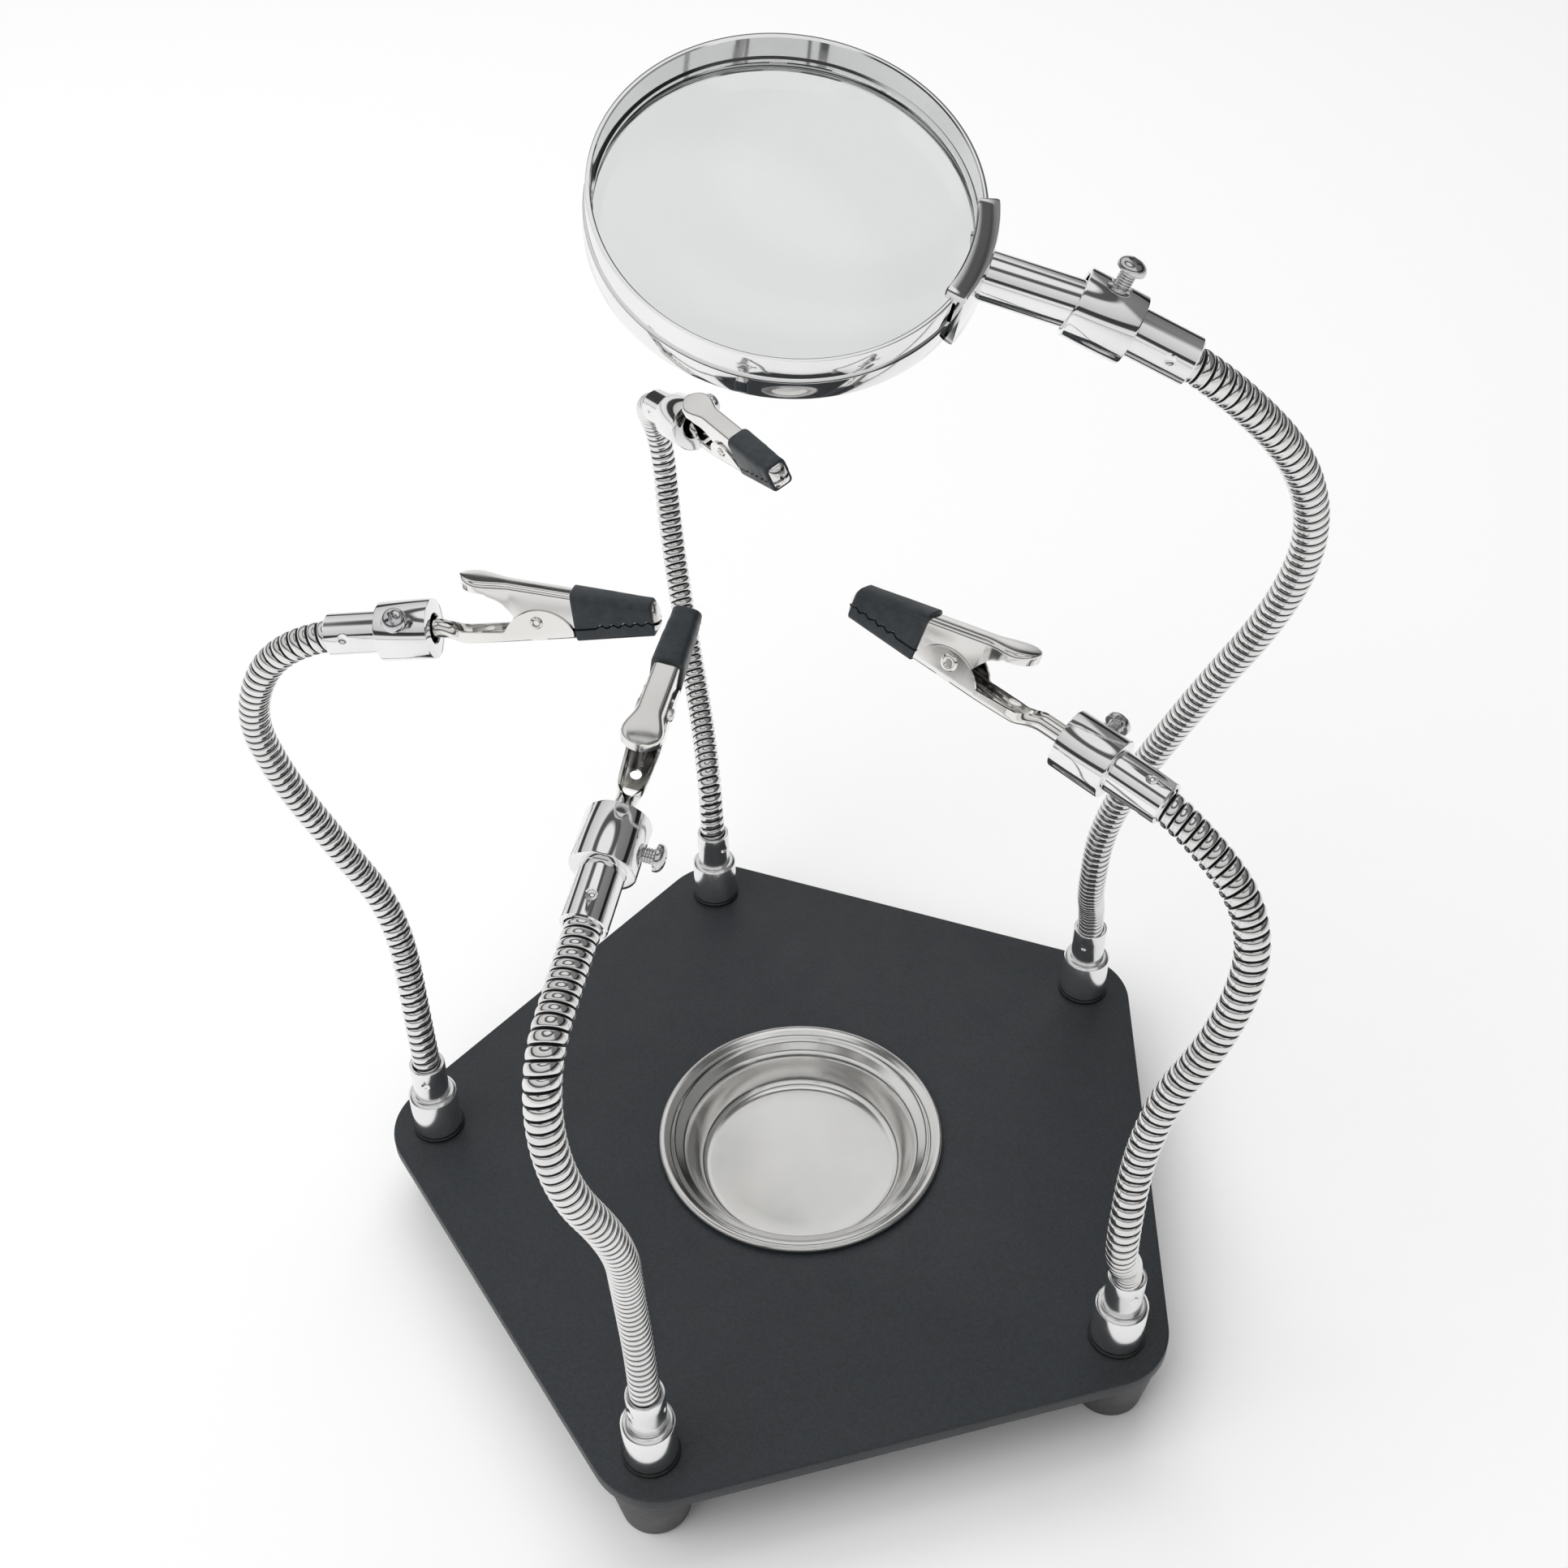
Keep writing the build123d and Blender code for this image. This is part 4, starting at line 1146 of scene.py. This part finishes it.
# ---- magnifier ----
HANDLE_R = 4.5
HANDLE_BORE_R = 3.7
RING_STEP = 0.4
RING_WALL = 1.0
RING_LIP = 1.9
LENS_R = 34.4
LENS_EDGE_T = 3.4
LENS_SAG = 2.6
CLASP_LIP_T = 1.0
CLASP_LIP = 2.6
CLASP_HALF_DEG = 19.0
CLASP_END_QUADS = 5  # all but the ends of its lower lip, which stay open


def build_handle(place):
    end = RING_X - RING_R
    profile = [(HANDLE_BORE_R, -HANDLE_IN), (HANDLE_R - 0.2, -HANDLE_IN), (HANDLE_R, -HANDLE_IN + 0.2)]
    profile += [(HANDLE_R, end - CLASP_T - 0.3), (HANDLE_R - 0.1, end - 0.5), (HANDLE_BORE_R, end - 0.5)]
    profile += [profile[0]]
    handle = lathe("handle", profile, place @ AROUND_X, "chrome", 96)
    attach(handle, "magnifier")
    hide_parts("magnifier_handle")


def build_ring(place):
    half = RING_H / 2
    lip = RING_R - RING_LIP
    upper = RING_R - RING_STEP
    step = RING_R - RING_STEP * 2
    inner = RING_R - RING_WALL
    upper_inner = inner - RING_STEP
    seat = -half + RING_WALL - 0.2
    bead = -half + RING_WALL + LENS_EDGE_T + 0.2
    profile = [(lip, seat), (lip, -half + 0.15), (lip + 0.15, -half), (RING_R - 0.5, -half)]
    profile += [(RING_R - 0.15, -half + 0.15), (RING_R, -half + 0.5), (RING_R, -0.35)]
    profile += [(RING_R - 0.25, -0.1), (step, 0.1), (step, 0.3), (upper, 0.55), (upper, half - 0.3)]
    profile += [(upper - 0.15, half - 0.05), (upper - 0.4, half), (upper_inner + 0.2, half - 0.05)]
    profile += [(upper_inner, half - 0.3), (upper_inner, bead + RING_STEP * 3)]
    profile += [(inner - RING_STEP * 2, bead + RING_STEP * 2), (inner - RING_STEP * 2, bead + 0.1)]
    profile += [(inner, bead), (inner, seat)]
    profile += [profile[0]]
    ring = lathe("ring", profile, place, "chrome", 224, sharp=35)
    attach(ring, "magnifier")
    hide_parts("magnifier_ring")


def build_lens(place):
    low = -RING_H / 2 + RING_WALL
    ball_r = (LENS_R**2 + LENS_SAG**2) / (2 * LENS_SAG)
    rings = 24
    edge = LENS_R - 0.25
    cap = []
    for n in range(rings):
        radius = edge * (n / (rings - 1)) if n else AXIS_R
        cap.append((radius, sqrt(ball_r**2 - radius**2) - (ball_r - LENS_SAG)))
    top = [(radius, low + LENS_EDGE_T + rise) for radius, rise in reversed(cap)]
    bottom = [(radius, low - rise) for radius, rise in cap]
    side = [(LENS_R, low + 0.2), (LENS_R, low + LENS_EDGE_T - 0.2)]
    glass = lathe("lens", bottom + side + top, place, "lens", 160, sharp=35)
    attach(glass, "magnifier")
    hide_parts("magnifier_lens")


def build_clasp(place):
    """The clasp's folded section, carried round the ring and narrowed a little at its two ends."""
    half = RING_H / 2
    high = half + CLASP_LIP_T
    lip_r = RING_R - CLASP_LIP
    back_r = RING_R + CLASP_T
    mid_r = RING_R + CLASP_T / 2
    inside = [(lip_r, half + 0.05), (RING_R - 0.2, half + 0.05), (RING_R + 0.05, half - 0.2)]
    outside = [(back_r, high - 0.7), (back_r - 0.2, high - 0.2), (back_r - 0.7, high)]
    outside += [(lip_r + 0.2, high), (lip_r - 0.1, half + CLASP_LIP_T * 0.5)]
    mirrored = [(radius, -height) for radius, height in reversed(outside + inside)]
    outline = inside + mirrored + outside
    steps = 40
    vertices = []
    for n in range(steps + 1):
        angle = radians(180 - CLASP_HALF_DEG + 2 * CLASP_HALF_DEG * n / steps)
        end = min(n, steps - n) / steps * 2 * CLASP_HALF_DEG
        narrow = 0.35 * (1 - min(1.0, end / 2.0)) ** 2
        for radius, height in outline:
            if radius < RING_R - 0.5:
                radius += (mid_r - radius) * narrow * 0.3
            height *= 1 - narrow * 0.25
            vertices.append((radius * cos(angle), radius * sin(angle), height))
    count = len(outline)
    faces = ring_faces(steps + 1, count) + end_faces(count, (0, steps * count), CLASP_END_QUADS)
    clasp = mesh_piece("clasp", vertices, faces, place, "chrome", 35)
    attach(clasp, "magnifier")
    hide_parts("magnifier_clasp")


def build_magnifier():
    handle_place = magnifier_matrix()
    ring_place = handle_place @ moved(RING_X)
    build_handle(handle_place)
    build_ring(ring_place)
    build_lens(ring_place)
    build_clasp(ring_place)


build_plate()
build_tray()
build_feet()
build_posts()
build_connectors()
build_clips()
build_magnifier()
for arm_name in ARMS:
    build_neck(arm_name)


# ---- surroundings ----


def build_floor():
    mesh = bpy.data.meshes.new("floor")
    size = 6.0  # metres to each side
    corners = [(-size, -size, 0), (size, -size, 0), (size, size, 0), (-size, size, 0)]
    mesh.from_pydata(corners, [], [(0, 1, 2, 3)])
    floor = new_object("floor", mesh)
    floor.data.materials.append(floor_material())


def area_light(name, place, size, power):
    """A square light aimed at the object, which no metal mirrors."""
    data = bpy.data.lights.new(name, "AREA")
    data.shape = "RECTANGLE"
    data.size = size
    data.size_y = size
    data.energy = power
    light = new_object(name, data)
    light.location = place
    way = Vector((0, 0, 0.1)) - Vector(place)
    light.rotation_euler = way.to_track_quat("-Z", "Y").to_euler()
    light.visible_glossy = False
    light.visible_transmission = False


# What the metal mirrors: the studio's bright and dark bands by height, and how bright its sides are.
STUDIO_BANDS = [
    (0.0, grey(0.9)), (0.14, grey(0.8)), (0.17, grey(0.06)), (0.36, grey(0.04)), (0.4, grey(0.62)),
    (0.82, grey(0.8)), (0.86, grey(0.1)), (0.93, grey(0.1)), (0.96, grey(0.9)),
]
STUDIO_SIDES = [(0.45, grey(1.0)), (0.55, grey(0.3))]


def build_lights():
    world = bpy.data.worlds.new("studio")
    bpy.context.scene.world = world
    world.use_nodes = True
    nodes, links = world.node_tree.nodes, world.node_tree.links
    place = nodes.new("ShaderNodeTexCoord")
    ways = nodes.new("ShaderNodeSeparateXYZ")
    links.new(place.outputs["Generated"], ways.inputs["Vector"])
    bands = ramp(nodes, links, ways.outputs["Z"], STUDIO_BANDS)
    sides = ramp(nodes, links, ways.outputs["X"], STUDIO_SIDES)
    both = nodes.new("ShaderNodeVectorMath")
    both.operation = "MULTIPLY"
    links.new(bands, both.inputs[0])
    links.new(sides, both.inputs[1])
    background = nodes["Background"]
    links.new(both.outputs["Vector"], background.inputs["Color"])
    plain = nodes.new("ShaderNodeBackground")
    set_inputs(plain, {"Color": (0.9, 0.9, 0.9, 1)})
    path = nodes.new("ShaderNodeLightPath")
    seen = nodes.new("ShaderNodeMixShader")
    links.new(path.outputs["Is Camera Ray"], seen.inputs["Fac"])
    links.new(background.outputs["Background"], seen.inputs[1])
    links.new(plain.outputs["Background"], seen.inputs[2])
    links.new(seen.outputs["Shader"], nodes["World Output"].inputs["Surface"])
    area_light("key", place=(-1.6, -0.4, 2.4), size=2.4, power=42.0)
    area_light("top", place=(0.3, 1.2, 2.4), size=2.0, power=27.0)


def build_camera():
    azimuth = radians(CAMERA_AZIMUTH)
    height = radians(CAMERA_HEIGHT)
    roll = radians(CAMERA_ROLL)
    level = cos(height)
    back = Vector((sin(azimuth) * level, -cos(azimuth) * level, sin(height)))
    right = (-back).cross(Vector((0, 0, 1))).normalized()
    up = right.cross(-back)
    x_way = right * cos(roll) + up * sin(roll)
    y_way = up * cos(roll) - right * sin(roll)
    data = bpy.data.cameras.new("camera")
    data.sensor_width = SENSOR
    data.lens = LENS_MM
    data.clip_start = 0.01
    camera = new_object("camera", data)
    matrix = Matrix((x_way, y_way, back)).transposed().to_4x4()
    matrix.translation = CAMERA_PLACE
    camera.matrix_world = matrix
    bpy.context.scene.camera = camera


build_floor()
build_lights()
build_camera()
bpy.context.scene.view_settings.view_transform = "Standard"
